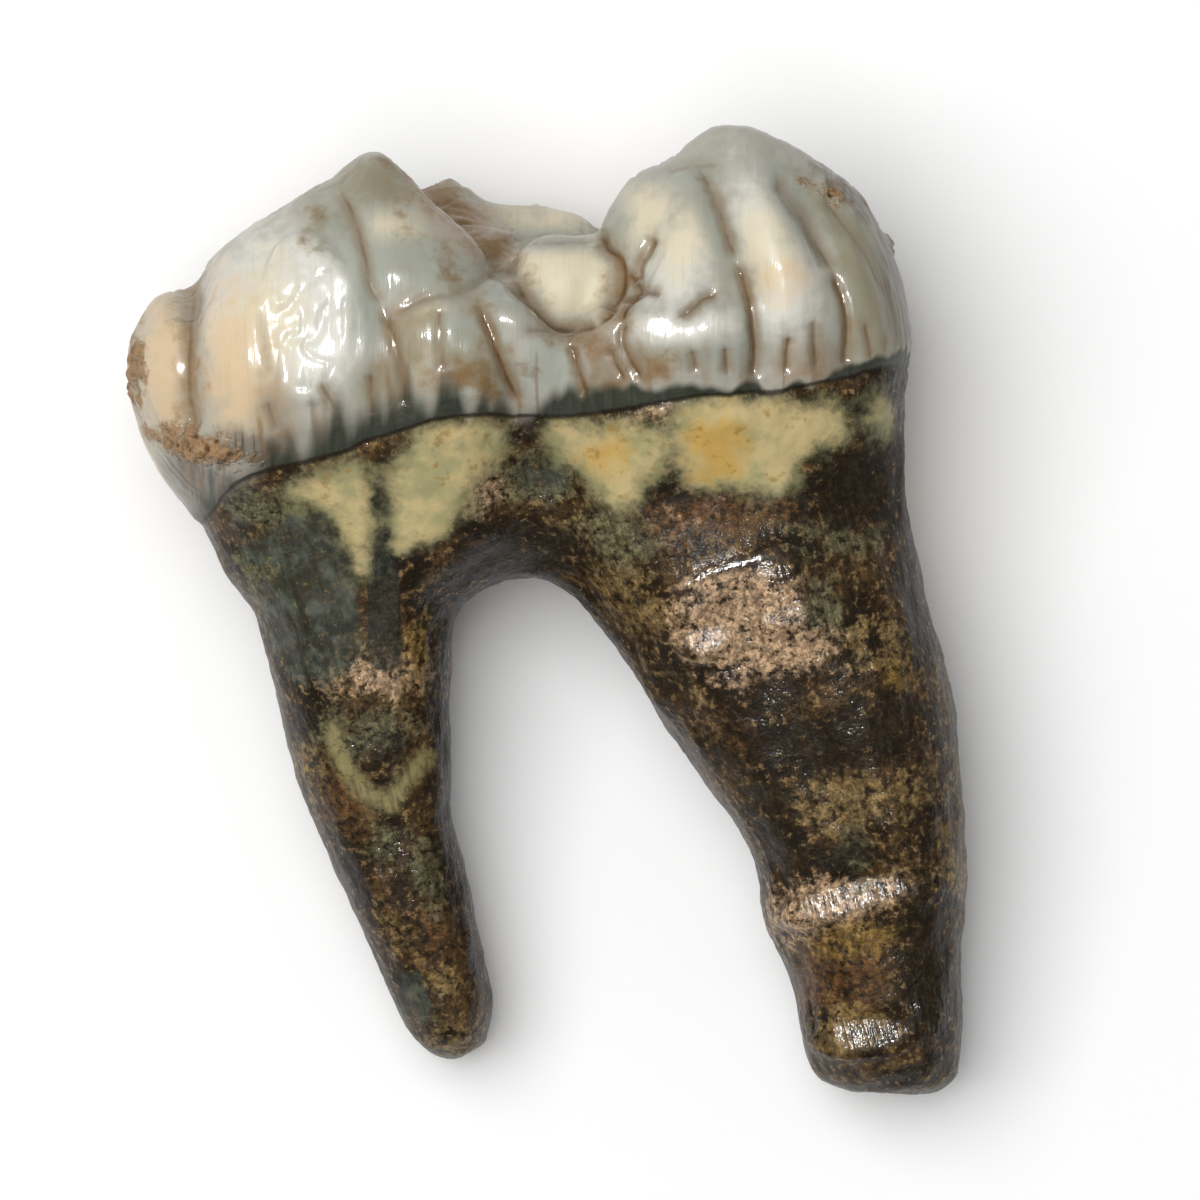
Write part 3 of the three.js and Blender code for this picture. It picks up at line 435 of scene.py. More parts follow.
def distance_to_path(u, v, path):
    """The distance of each point to the path, below 0 on its right, and its place along it, from 0 to 1."""
    nearest = np.full(len(u), np.inf)
    side = np.ones(len(u))
    along = np.zeros(len(u))
    spans = list(zip(path[:-1], path[1:]))
    for i, ((ax, ay), (bx, by)) in enumerate(spans):
        dx, dy = bx - ax, by - ay
        t = np.clip(((u - ax) * dx + (v - ay) * dy) / (dx * dx + dy * dy), 0.0, 1.0)
        d = np.hypot(u - ax - t * dx, v - ay - t * dy)
        closer = d < nearest
        nearest[closer] = d[closer]
        side[closer] = np.where(dx * (v - ay) - dy * (u - ax) < 0, -1.0, 1.0)[closer]
        along[closer] = (i + t[closer]) / len(spans)
    return nearest * side, along


def depth_in_outline(u, v, outline):
    """How far inside the closed outline each point lies, in mm, and below 0 outside it."""
    path = resampled(list(outline) + [outline[0]], 3)
    d = np.abs(distance_to_path(u, v, path)[0])
    inside = np.zeros(len(u), bool)
    for (ax, ay), (bx, by) in zip(path[:-1], path[1:]):
        if ay != by:
            inside ^= ((ay > v) != (by > v)) & (u < (bx - ax) * (v - ay) / (by - ay) + ax)
    return np.where(inside, d, -d)


def depth_in_patch(u, v, patch):
    """How far inside the oval patch each point lies, in mm, and below 0 outside it."""
    lean = math.radians(patch.lean)
    p = (u - patch.x) * math.cos(lean) + (v - patch.y) * math.sin(lean)
    q = (v - patch.y) * math.cos(lean) - (u - patch.x) * math.sin(lean)
    return (1 - np.hypot(p / patch.along, q / patch.across)) * min(patch.along, patch.across)


def wave(points, size, seed, octaves=1):
    """A smooth random number from about -1 to 1 for each point, in waves about size mm long each way."""
    shift = Vector((seed * 17.3, seed * 5.1, seed * 9.7))
    scaled = points / np.array(size, float)
    if octaves == 1:
        return np.array([noise.noise(Vector(p) + shift) for p in scaled])
    return np.array([noise.fractal(Vector(p) + shift, 1.0, 2.0, octaves) for p in scaled])


def neighbours_mean(values, edges, counts):
    """The mean of each point's neighbours."""
    mean = np.empty_like(values)
    a, b = edges.T
    for k in range(values.shape[1]):
        mean[:, k] = np.bincount(a, values[b, k], len(values)) + np.bincount(b, values[a, k], len(values))
    return mean / counts[:, None]


def levelled(points, edges, passes, inward=0.5, outward=-0.53):
    """The points smoothed in passes that keep the volume."""
    counts = np.bincount(edges.ravel(), minlength=len(points)).astype(float)
    for _ in range(passes):
        for share in (inward, outward):
            points = points + share * (neighbours_mean(points, edges, counts) - points)
    return points


def softened(values, edges, passes):
    """One number for each point, averaged with its neighbours' in passes."""
    column = values[:, None]
    counts = np.bincount(edges.ravel(), minlength=len(values)).astype(float)
    for _ in range(passes):
        column = 0.5 * (column + neighbours_mean(column, edges, counts))
    return column[:, 0]


def read_points(mesh):
    """The mesh's vertices, in mm."""
    flat = np.empty(len(mesh.vertices) * 3)
    mesh.vertices.foreach_get("co", flat)
    return flat.reshape(-1, 3) / MM


def read_edges(mesh):
    """The mesh's edges as pairs of vertex numbers."""
    flat = np.empty(len(mesh.edges) * 2, np.int64)
    mesh.edges.foreach_get("vertices", flat)
    return flat.reshape(-1, 2)


def read_normals(mesh):
    """The mesh's vertex normals."""
    flat = np.empty(len(mesh.vertices) * 3)
    mesh.vertex_normals.foreach_get("vector", flat)
    return flat.reshape(-1, 3)


def write_points(mesh, points):
    """Moves the mesh's vertices to points, in mm."""
    mesh.vertices.foreach_set("co", (points * MM).ravel())
    mesh.update()


def even_mesh(node, step):
    """A new object with the node's surface in even quads, step metres apart."""
    rough = bpy.data.objects.new("fossil_molar", node.data.copy())
    bpy.context.scene.collection.objects.link(rough)
    merged = bmesh.new()
    merged.from_mesh(rough.data)
    bmesh.ops.remove_doubles(merged, verts=merged.verts, dist=1e-7)
    merged.to_mesh(rough.data)
    merged.free()
    remesh = rough.modifiers.new("even quads", "REMESH")
    remesh.mode = "VOXEL"
    remesh.voxel_size = step
    seen = rough.evaluated_get(bpy.context.evaluated_depsgraph_get())
    even = bpy.data.meshes.new_from_object(seen)
    rough.modifiers.clear()
    rough.data = even
    if not len(even.vertices):
        raise RuntimeError("the remesh of the tooth came out empty")
    return rough


def halve_crown_faces(mesh):
    """Halves the mesh's spacing on the crown's cheek and chewing sides, which have the finest relief."""
    fine = bmesh.new()
    fine.from_mesh(mesh)
    edges = set()
    for face in fine.faces:
        middle = face.calc_center_median()
        if middle.y > FINE_FROM_Y * MM and middle.z > FINE_FROM_Z * MM:
            edges.update(face.edges)
    bmesh.ops.subdivide_edges(fine, edges=list(edges), cuts=1, use_grid_fill=True)
    fine.to_mesh(mesh)
    fine.free()


def skin_of(mesh):
    """The mesh's points and normals, with where the camera sees each one and how well."""
    points, normals, edges = read_points(mesh), read_normals(mesh), read_edges(mesh)
    spread = CAMERA_ABOVE / (CAMERA_ABOVE - (points[:, 2] - SEEN_LEVEL))
    u = CAMERA_X + (points[:, 0] - CAMERA_X) * spread
    v = CAMERA_Y + (points[:, 1] - CAMERA_Y) * spread
    # A point is hidden where it lies well below the highest one in its cell of the view, in mm.
    cell, hidden_below = 0.4, 3.0
    i = ((u - u.min()) / cell).astype(int)
    j = ((v - v.min()) / cell).astype(int)
    top = np.full((i.max() + 1, j.max() + 1), -np.inf)
    np.maximum.at(top, (i, j), points[:, 2])
    facing = ramp(-0.15, 0.2, normals[:, 2])
    seen = facing * ramp(-hidden_below, -hidden_below / 2, points[:, 2] - top[i, j])
    end_on = ramp(0.45, 0.85, np.abs(normals[:, 0]))
    return Skin(points, normals, edges, u, v, softened(seen, edges, 12), facing, softened(end_on, edges, 6))


def height_of_line(skin, line, hump, wobble):
    """How far above the line each point lies, in mm. On the tongue side the line is an arch."""
    path = resampled(line)
    cheek = np.interp(skin.u, path[:, 0], path[:, 1])
    (x0, y0), (x1, y1) = line[1], line[-1]
    t = np.clip((skin.u - x0) / (x1 - x0), 0.0, 1.0)
    tongue = y0 + (y1 - y0) * t + hump * np.sin(math.pi * t) + wobble * np.sin(9 * math.pi * t)
    return skin.v - (skin.facing * cheek + (1 - skin.facing) * tongue)


def stain_depths(skin):
    """For each stain, how far inside it each point lies, in mm."""
    depths = {}
    for seed, (name, places) in enumerate(STAINS.items()):
        seen = np.full(len(skin.u), -FAR)
        for place in places:
            depth = depth_in_patch if isinstance(place, Patch) else depth_in_outline
            seen = np.maximum(seen, depth(skin.u, skin.v, place))
        if name == "root_pale":
            from_v, _ = distance_to_path(skin.u, skin.v, resampled(PALE_V))
            seen = PALE_V_HALF_WIDTH - np.abs(from_v)
        size, rarity = HIDDEN_STAINS[name]
        hidden = (wave(skin.points, size, 11 + seed) - rarity) * size
        if name in ("root_cream", "root_ochre_cream"):
            # Bare dentine shows only near the neck.
            hidden -= size * ramp(3.0, -2.0, skin.v)
        depths[name] = skin.facing * seen + (1 - skin.facing) * np.clip(hidden, -FAR, FAR)
    return depths


def tongue_furrows():
    """Furrows for the tongue side, which run down from the cusps at uneven steps."""
    furrows = []
    for k in range(TONGUE_FURROWS):
        x = -13.2 + 26.4 * k / (TONGUE_FURROWS - 1) + 0.5 * math.sin(5.1 * k)
        top = (13.5 + 1.6 * math.sin(2.3 * k)) if k % 2 else (10.4 + 1.1 * math.sin(3.7 * k))
        bottom = 5.2 + 0.17 * (x + 13)
        sway = 0.35 * math.sin(1.9 * k)
        path = [(x - sway, top), (x, (2 * top + bottom) / 3), (x + sway, (top + 2 * bottom) / 3), (x, bottom)]
        furrows.append(Furrow(path, 0.18 + 0.05 * math.sin(k), 0.13, 0.6 if k % 2 else 0.4))
    return furrows


def carve_furrows(skin):
    """The furrows' relief, the signed distance of each point to the nearest one, and how stained that is."""
    relief = np.zeros(len(skin.u))
    nearest = np.full(len(skin.u), FAR)
    stain = np.zeros(len(skin.u))
    jitter = 0.05 * wave(skin.points, 0.9, 3)
    for furrows, weight in ((CHEEK_FURROWS, skin.seen), (tongue_furrows(), 1 - skin.facing)):
        for furrow in furrows:
            path = resampled(furrow.path)
            reach = 5 * furrow.width + 0.6
            low, high = path.min(0) - reach, path.max(0) + reach
            across = (skin.u > low[0]) & (skin.u < high[0])
            near = across & (skin.v > low[1]) & (skin.v < high[1]) & (weight > 0)
            d, along = distance_to_path(skin.u[near] + jitter[near], skin.v[near] + jitter[near], path)
            ends = ramp(0.0, 0.12, along) * ramp(1.0, 0.88, along) * 0.75 + 0.25
            cut = bell(d, furrow.width) + 0.5 * bell(d, 3 * furrow.width)
            relief[near] -= furrow.depth * cut * ends * weight[near]
            closer = np.abs(d) < np.abs(nearest[near])
            here = near.nonzero()[0][closer]
            nearest[here] = d[closer]
            stain[here] = (furrow.stain * ends * weight[near])[closer]
    return relief, nearest, stain


def upright_wave(skin, across, along, seed, octaves=1):
    """A noise for upright forms: it changes round the crown, every across mm, and hardly up and down."""
    side = np.column_stack([skin.u, skin.v, 4.0 * skin.facing])
    end = np.column_stack([skin.points[:, 2], skin.v, np.sign(skin.u)])
    size = (across, along, 1.0)
    return (1 - skin.end_on) * wave(side, size, seed, octaves) + skin.end_on * wave(end, size, seed, octaves)


def chewing_relief(skin):
    """Relief of the chewing side, in mm: the fine creases that crinkle a bear's grinding surface."""
    faces_up = ramp(0.25, 0.6, skin.normals[:, 1]) * (1 - 0.7 * skin.seen)
    crease = bell(wave(skin.points, (1.9, 1.9, 1.5), 41, 2), 0.07)
    crease += 0.6 * bell(wave(skin.points, 0.9, 42), 0.08)
    return faces_up * (CHEWING_SWELL * wave(skin.points, 1.2, 43) - CHEWING_CREASE * crease)


def worn_smooth(skin):
    """How much wear has smoothed the rear root's ridge at each point, from 0 to 1."""
    from_ridge, _ = distance_to_path(skin.u, skin.v, resampled(REAR_RIDGE))
    return bell(from_ridge + 0.3, 0.35) * skin.seen


def above_ridge(skin):
    """How deep in the gritty, dull strip above the ridge each point lies, from 0 to 1."""
    ridge = resampled(REAR_RIDGE)
    above = skin.v - np.interp(skin.u, ridge[:, 0], ridge[:, 1])
    return ramp(0.15, 0.6, above) * ramp(5.0, 3.5, above) * ramp(2.0, 3.5, skin.u) * skin.seen


def ring_share(skin):
    """How near each point is to the crest of a growth ring on the rear root's tip, from 0 to 1."""
    share = np.zeros(len(skin.u))
    for ring in TIP_RINGS:
        from_ring, _ = distance_to_path(skin.u, skin.v, resampled(ring))
        share = np.maximum(share, bell(from_ring, 0.8) * skin.seen)
    return share


def flat_relief(skin, relief):
    """How far wear moves each point to make the flats, in mm. It levels this relief too."""
    change = np.zeros(len(skin.u))
    height = skin.points[:, 2] + relief
    for flat in WORN_FLATS:
        share = ramp(-0.1, 0.35, depth_in_patch(skin.u, skin.v, flat)) * skin.seen
        rise = (FLAT_LEAN + FLAT_LEAN_GROWTH * flat.x) * (skin.u - flat.x)
        fall = (FLAT_LEAN - FLAT_LEAN_GROWTH * flat.y) * (skin.v - flat.y)
        level = np.average(height - rise + fall, weights=share * (share > 0.5))
        change += share * FLAT_LIMIT * np.tanh((level + FLAT_RISE + rise - fall - height) / FLAT_LIMIT)
    return change


def root_relief(skin, sizes):
    """Relief of the roots in mm: low swellings, grit, grooves along them, the rear ridge and the rings."""
    across = skin.u * math.cos(ROOT_LEAN) + skin.v * math.sin(ROOT_LEAN)
    down = skin.v * math.cos(ROOT_LEAN) - skin.u * math.sin(ROOT_LEAN)
    turned = np.column_stack([across, down, skin.points[:, 2]])
    worn = worn_smooth(skin)
    relief = sizes.root_swell * wave(skin.points, (2.6, 3.4, 2.6), 21, 3) * (1 - 0.8 * worn)
    relief += sizes.root_grit * wave(skin.points, 0.75, 22, 3) * (1 - worn)
    relief += sizes.root_groove * wave(turned, (0.6, 6.0, 0.6), 23, 2) * (1 - worn)
    ridge = resampled(REAR_RIDGE)
    below = np.interp(skin.u, ridge[:, 0], ridge[:, 1]) - skin.v
    within = ramp(2.2, 4.6, skin.u) * ramp(12.6, 8.6, skin.u) * skin.seen
    relief += sizes.ridge * within * ramp(-0.3, 0.3, below) * ramp(6.5, 2.0, below)
    return (relief + sizes.ring * ring_share(skin)) / MM


def shape_tooth(mesh, sizes):
    """Moves the mesh's points to the tooth's fine shape, and stores what the material reads."""
    skin = skin_of(mesh)
    enamel = height_of_line(skin, ENAMEL_EDGE, 1.5, 0.12)
    neck = height_of_line(skin, NECK_LINE, 1.3, 0.08)
    depths = stain_depths(skin)
    furrow_relief, furrow, stain = carve_furrows(skin)
    on_enamel = ramp(-0.12, 0.1, enamel)
    on_root = ramp(0.3, -0.6, neck)
    lower_crown = ramp(17.0, 9.0, skin.v)
    pillar = upright_wave(skin, 0.55, 6.0, 31)
    relief = furrow_relief + chewing_relief(skin)
    relief += sizes.ripple / MM * pillar * (0.25 + 0.75 * lower_crown)
    relief += ENAMEL_SWELL * upright_wave(skin, 1.2, 8.0, 32) * lower_crown
    relief += ENAMEL_UNEVENNESS * wave(skin.points, 0.5, 36)
    wrinkled = ramp(-0.8, 0.8, depth_in_patch(skin.u, skin.v, WRINKLED)) * skin.seen
    creases = bell(upright_wave(skin, 0.8, 2.2, 35, 2), 0.14) + 0.6 * bell(wave(skin.points, 1.1, 37), 0.14)
    relief -= sizes.wrinkle / MM * wrinkled * (creases + 0.5 * wave(skin.points, (0.5, 1.1, 0.5), 38))
    relief *= on_enamel
    relief += sizes.enamel_lip / MM * (ramp(-0.45, 0.3, enamel) - 0.7)
    roots = on_root * root_relief(skin, sizes)
    relief += roots + flat_relief(skin, roots)
    relief -= NECK_GROOVE * bell(neck, 0.13)
    gritty = ramp(-0.3, 0.3, depths["crust"]) * on_enamel
    relief += gritty * (CRUST_RISE + CRUST_LUMPS * wave(skin.points, 0.5, 33, 2))
    settles = ramp(0.0, 0.5, skin.points[:, 2])
    points = skin.points + skin.normals * (relief * settles)[:, None]
    points[:, 2] = np.maximum(points[:, 2], 0.0)
    hollow = ((levelled(points, skin.edges, 14) - points) * skin.normals).sum(1)
    write_points(mesh, points)
    facts = {
        "enamel": enamel, "neck": neck, "furrow": furrow, "furrow_gap": np.abs(furrow), "furrow_stain": stain,
        "hollow": hollow, "thread": upright_wave(skin, 1.1, 9.0, 34), "end_on": skin.end_on,
        "fringe": np.interp(skin.u, *zip(*FRINGE)) * skin.facing + 0.6 * (1 - skin.facing),
        "finger": upright_wave(skin, 0.9, 7.0, 39, 2), "worn": worn_smooth(skin), "ring": ring_share(skin),
        "matte": above_ridge(skin), **depths,
    }
    for name, values in facts.items():
        mesh.attributes.new(name, "FLOAT", "POINT").data.foreach_set("value", values.astype(np.float32))


def add(tree, kind, inputs=None, output=None, **settings):
    """Adds a node with its settings, links or sets its inputs by name or place, and gives back an output."""
    node = tree.nodes.new("ShaderNode" + kind)
    for name, value in settings.items():
        setattr(node, name, value)
    live = [socket for socket in node.inputs if socket.enabled]
    for key, value in (inputs or {}).items():
        socket = live[key] if isinstance(key, int) else next(s for s in live if s.name == key)
        if isinstance(value, bpy.types.NodeSocket):
            tree.links.new(value, socket)
        else:
            socket.default_value = value
    return node.outputs[output] if output else next((s for s in node.outputs if s.enabled), None)


def moved(tree, value, noise_value, reach):
    """Value moved up and down by a noise, by up to about half of reach."""
    centred = add(tree, "Math", {0: noise_value, 1: 0.5}, operation="SUBTRACT")
    return add(tree, "Math", {0: centred, 1: reach, 2: value}, operation="MULTIPLY_ADD")


def cover_of(tree, layer, mottle, grain):
    """How much of a stain shows at each place, by how deep inside it that is, with clouds and grains."""
    depth = add(tree, "Attribute", output="Fac", attribute_name=layer.stain)
    depth = add(tree, "Math", {0: depth, 1: layer.full}, operation="MINIMUM")
    depth = moved(tree, moved(tree, depth, mottle, layer.clouds), grain, layer.grains)
    span = {"Value": depth, "From Min": -layer.soft, "From Max": layer.soft, "To Max": layer.strength}
    return add(tree, "MapRange", span, interpolation_type="SMOOTHSTEP")


def laid_over(tree, under, over, *covers):
    """A colour laid over another where every cover is high. A Cover is a value that fades in."""
    together = 1.0
    for cover in covers:
        if isinstance(cover, Cover):
            value, low, high, strength = cover
            span = {"Value": value, "From Min": low, "From Max": high, "To Max": strength}
            cover = add(tree, "MapRange", span, interpolation_type="SMOOTHSTEP")
        together = add(tree, "Math", {0: cover, 1: together}, operation="MULTIPLY")
    return add(tree, "Mix", {"Factor": together, "A": under, "B": over}, data_type="RGBA")


def tooth_material(colours):
    """Fossil tooth: enamel over mineral-stained dentine, polished by wear and handling."""
    material = bpy.data.materials.new("fossil tooth, enamel over mineral-stained root")
    material.use_nodes = True
    tree = material.node_tree
    tree.nodes.clear()
    paint = {name: (*getattr(colours, name), 1.0) for name in FossilToothColours.__annotations__}

    place = add(tree, "TexCoord", output="Object")
    mm = add(tree, "Mapping", {"Vector": place, "Scale": (1 / MM,) * 3})
    along_side = add(tree, "Mapping", {"Vector": mm, "Scale": (1.0, 0.1, 0.02)})
    along_end = add(tree, "Mapping", {"Vector": mm, "Scale": (0.02, 0.1, 1.0)})
    turned = add(tree, "Mapping", {"Vector": mm, "Rotation": (0, 0, -ROOT_LEAN)})
    grooves = add(tree, "Mapping", {"Vector": turned, "Scale": (1.0, 0.12, 0.6)})

    # Clouds, grains and specks, tones inside a stain, grooves along the roots and ripples of the enamel, by
    # their size in mm. Real grit goes down to a few hundredths of a mm. The finest here is 0.15 mm, to show.
    blotch, mottle, grain, speck, tone, streak, ripple_side, ripple_end = (
        add(tree, "TexNoise", {"Vector": vector, "Scale": 1 / size, "Detail": detail, "Roughness": rough})
        for vector, size, detail, rough in (
            (mm, 1.8, 4.0, 0.6), (mm, 0.8, 3.0, 0.55), (mm, 0.33, 3.0, 0.7), (mm, 0.15, 2.0, 0.6),
            (turned, 0.25, 4.0, 0.75), (grooves, 0.3, 2.0, 0.5),
            (along_side, 0.22, 3.0, 0.6), (along_end, 0.22, 3.0, 0.6),
        )
    )
    # What the mesh holds for each point.
    held = {
        name: add(tree, "Attribute", output="Fac", attribute_name=name)
        for name in (
            "enamel", "neck", "furrow", "furrow_gap", "furrow_stain", "hollow", "thread", "end_on", "fringe",
            "finger", "worn", "ring", "matte", "enamel_grey", "root_slate", "root_stripe", "root_pale",
            "root_cream",
        )
    }
    sides = {"Factor": held["end_on"], "A": ripple_side, "B": ripple_end}
    ripple = add(tree, "Mix", sides, data_type="FLOAT")

    # Enamel: dense apatite, milky where thick and blue-grey over dark dentine where thin.
    enamel = laid_over(tree, paint["enamel"], paint["enamel_blue"], Cover(blotch, 0.4, 0.65, 0.35))
    for layer in ENAMEL_LAYERS:
        enamel = laid_over(tree, enamel, paint[layer.stain], cover_of(tree, layer, mottle, grain))
    enamel = laid_over(tree, enamel, paint["enamel_dun"], Cover(ripple, 0.5, 0.75, 0.15))
    streaks = Cover(ripple, 0.44, 0.6, 0.6)
    enamel = laid_over(tree, enamel, paint["band"], streaks, Cover(held["enamel_grey"], -0.4, 0.4, 1.0))
    # Fine brown threads run up from the enamel's edge.
    from_thread = add(tree, "Math", {0: moved(tree, held["thread"], grain, 0.04)}, operation="ABSOLUTE")
    low_down = Cover(moved(tree, held["enamel"], blotch, 4.5), 2.4, 0.8, 1.0)
    enamel = laid_over(tree, enamel, paint["enamel_brown"], Cover(from_thread, 0.13, 0.02, 0.5), low_down)
    # A furrow has a grey halo, partly thin enamel and partly painted shade in its valley, a brown one of
    # stain, and a thin dark core of dirt.
    gap, stained, hollow = held["furrow_gap"], held["furrow_stain"], held["hollow"]
    from_line = add(tree, "Math", {0: held["furrow"]}, operation="ABSOLUTE")
    well_off = add(tree, "Math", {0: gap, 1: 0.15}, operation="SUBTRACT")
    from_core = add(tree, "Math", {0: from_line, 1: well_off}, operation="MAXIMUM")
    from_core = moved(tree, from_core, grain, 0.08)
    # Painted shade: the blue-grey halo darkens the enamel on both sides of each furrow.
    wide = moved(tree, gap, mottle, 0.8)
    enamel = laid_over(tree, enamel, paint["enamel_blue"], Cover(wide, 0.8, 0.1, 0.6), stained)
    narrow = moved(tree, gap, mottle, 0.5)
    enamel = laid_over(tree, enamel, paint["enamel_brown"], Cover(narrow, 0.45, 0.0, 0.95), stained)
    dirt = (*[c * 0.4 for c in paint["enamel_brown"][:3]], 1.0)
    broken = Cover(blotch, 0.3, 0.6, 1.0)
    enamel = laid_over(tree, enamel, dirt, Cover(from_core, 0.11, 0.02, 0.8), broken, stained)
    enamel = laid_over(tree, enamel, paint["enamel_brown"], Cover(hollow, 0.03, 0.12, 0.7))
    crust_cover = cover_of(tree, CRUST_LAYER, mottle, grain)
    crust = laid_over(tree, paint["crust"], paint["root_umber"], Cover(grain, 0.52, 0.36, 0.6))
    # Painted shade: the crust's hollows are darkened with the dark umber.
    crust = laid_over(tree, crust, paint["root_dark"], Cover(hollow, 0.0, 0.06, 0.75))
    enamel = laid_over(tree, enamel, crust, crust_cover)

    # Roots: dentine and cement with manganese and iron minerals, clouded and gritty.
    root = laid_over(tree, paint["root_dark"], paint["root_umber"], Cover(blotch, 0.38, 0.62, 1.0))
    root = laid_over(tree, root, paint["root_tan"], Cover(mottle, 0.5, 0.7, 0.45))
    root = laid_over(tree, root, paint["root_grit"], Cover(grain, 0.54, 0.66, 0.75))
    slate = laid_over(tree, paint["root_slate"], paint["root_slate_light"], Cover(mottle, 0.42, 0.66, 1.0))
    slate = laid_over(tree, slate, paint["root_tan"], Cover(tone, 0.56, 0.68, 0.55))
    even_stains = {"root_slate": slate, "root_pale": paint["root_pale"]}
    for layer in ROOT_LAYERS:
        light, shade = (tuple(c * share for c in paint[layer.stain][:3]) + (1.0,) for share in (1.25, 0.45))
        over = even_stains.get(layer.stain) or laid_over(tree, shade, light, Cover(tone, 0.42, 0.62, 1.0))
        root = laid_over(tree, root, over, cover_of(tree, layer, mottle, grain))
    in_even = add(tree, "Math", {0: held["root_slate"], 1: held["root_stripe"]}, operation="MAXIMUM")
    in_even = add(tree, "Math", {0: in_even, 1: held["root_pale"]}, operation="MAXIMUM")
    span = {"Value": in_even, "From Min": 0.3, "From Max": -0.3, "To Min": 0.3, "To Max": 1.0}
    gritty = add(tree, "MapRange", span)
    # Dark grit and specks, darker along the grooves, and darker in the hollows.
    for covers in (
        (Cover(grain, 0.48, 0.35, 0.9), gritty), (Cover(speck, 0.58, 0.68, 0.5), gritty),
        (Cover(streak, 0.5, 0.36, 0.4),), (Cover(hollow, 0.02, 0.12, 0.6),),
    ):
        root = laid_over(tree, root, paint["root_dark"], *covers)

    # Bare dentine, cream and smooth, fades into the stains through a grey-green rim.
    near_bare = moved(tree, moved(tree, held["root_cream"], mottle, 1.8), grain, 0.6)
    root = laid_over(tree, root, paint["root_olive"], Cover(near_bare, -0.8, 0.0, 0.75))
    cream = laid_over(tree, paint["root_cream"], paint["root_cream_green"], Cover(blotch, 0.42, 0.62, 0.9))
    cream = laid_over(tree, cream, paint["root_ochre_cream"], cover_of(tree, YELLOW_LAYER, mottle, grain))
    flecks = moved(tree, mottle, grain, 0.4)
    cream = laid_over(tree, cream, paint["root_ochre"], Cover(flecks, 0.6, 0.72, 0.6))
    bare_cover = cover_of(tree, CREAM_LAYER, mottle, grain)
    root = laid_over(tree, root, cream, bare_cover)

    # The band between enamel and neck line, with light fingers of enamel that run down into it.
    neck = moved(tree, held["neck"], mottle, 0.3)
    band = laid_over(tree, paint["band"], paint["enamel_grey"], Cover(ripple, 0.42, 0.7, 0.12))
    surface = laid_over(tree, root, band, Cover(neck, -0.06, 0.06, 1.0))
    swing = add(tree, "Math", {0: held["finger"], 1: held["fringe"]}, operation="MULTIPLY")
    ragged = add(tree, "Math", {0: swing, 1: 1.5, 2: held["enamel"]}, operation="MULTIPLY_ADD")
    ragged = moved(tree, ragged, grain, 0.1)
    soft = add(tree, "Math", {0: held["fringe"], 1: 0.95, 2: -0.1}, operation="MULTIPLY_ADD")
    hard = add(tree, "Math", {0: soft, 1: -1.0}, operation="MULTIPLY")
    fade = {"Value": ragged, "From Min": hard, "From Max": soft}
    enamel_cover = add(tree, "MapRange", fade, interpolation_type="SMOOTHSTEP")
    surface = laid_over(tree, surface, enamel, enamel_cover)
    from_neck = add(tree, "Math", {0: neck}, operation="ABSOLUTE")
    surface = laid_over(tree, surface, paint["root_dark"], Cover(from_neck, 0.15, 0.03, 0.8))

    # Relief too fine for the mesh, in mm: enamel ripples, root grit, root grooves and crust grains.
    root_cover = add(tree, "Math", {0: 1.0, 1: enamel_cover}, operation="SUBTRACT")
    off_cream = add(tree, "Math", {0: bare_cover, 1: -0.8, 2: 1.0}, operation="MULTIPLY_ADD")
    unworn = add(tree, "Math", {0: held["worn"], 1: -0.85, 2: 1.0}, operation="MULTIPLY_ADD")
    off_ring = add(tree, "Math", {0: held["ring"], 1: -0.6, 2: 1.0}, operation="MULTIPLY_ADD")
    groove_depth = add(tree, "Math", {0: held["ring"], 1: 0.12, 2: 0.06}, operation="MULTIPLY_ADD")
    end_ripple = add(tree, "Math", {0: held["end_on"], 1: 0.05, 2: 0.02}, operation="MULTIPLY_ADD")
    height = 0.0
    for share, parts in (
        (ripple, (enamel_cover, end_ripple)),
        (grain, (root_cover, off_cream, gritty, unworn, off_ring, 0.06)),
        (speck, (root_cover, off_cream, gritty, unworn, off_ring, 0.02)),
        (streak, (root_cover, off_cream, unworn, groove_depth)), (grain, (crust_cover, 0.14)),
    ):
        for part in parts:
            share = add(tree, "Math", {0: share, 1: part}, operation="MULTIPLY")
        height = add(tree, "Math", {0: height, 1: share}, operation="ADD")
    bump = add(tree, "Bump", {"Height": height, "Distance": MM, "Strength": 1.0})

    # Worn tooth takes a high gloss, as if wet. Grit breaks it up.
    dull = add(tree, "Math", {0: crust_cover, 1: held["matte"]}, operation="MAXIMUM")
    gloss = add(tree, "Math", {0: dull, 1: -0.25, 2: 0.3}, operation="MULTIPLY_ADD")
    dullness = add(tree, "Math", {0: root_cover, 1: 0.2, 2: 0.35}, operation="MULTIPLY_ADD")
    shader = add(tree, "BsdfPrincipled", {
        "Base Color": surface,
        "Roughness": dullness,
        "IOR": 1.6,
        "Specular IOR Level": 0.08,
        "Coat Weight": gloss,
        "Coat Roughness": 0.1,
        "Coat IOR": 1.5,
        "Normal": bump,
        "Coat Normal": bump,
    })
    add(tree, "OutputMaterial", {"Surface": shader})
    return material


def card_material(paint):
    """Matte white card: even, with no gloss of its own."""
    material = bpy.data.materials.new("matte white card")
    material.use_nodes = True
    tree = material.node_tree
    tree.nodes.clear()
    shader = add(tree, "BsdfPrincipled", {"Base Color": (*paint, 1.0), "Roughness": 0.9})
    add(tree, "OutputMaterial", {"Surface": shader})
    return material


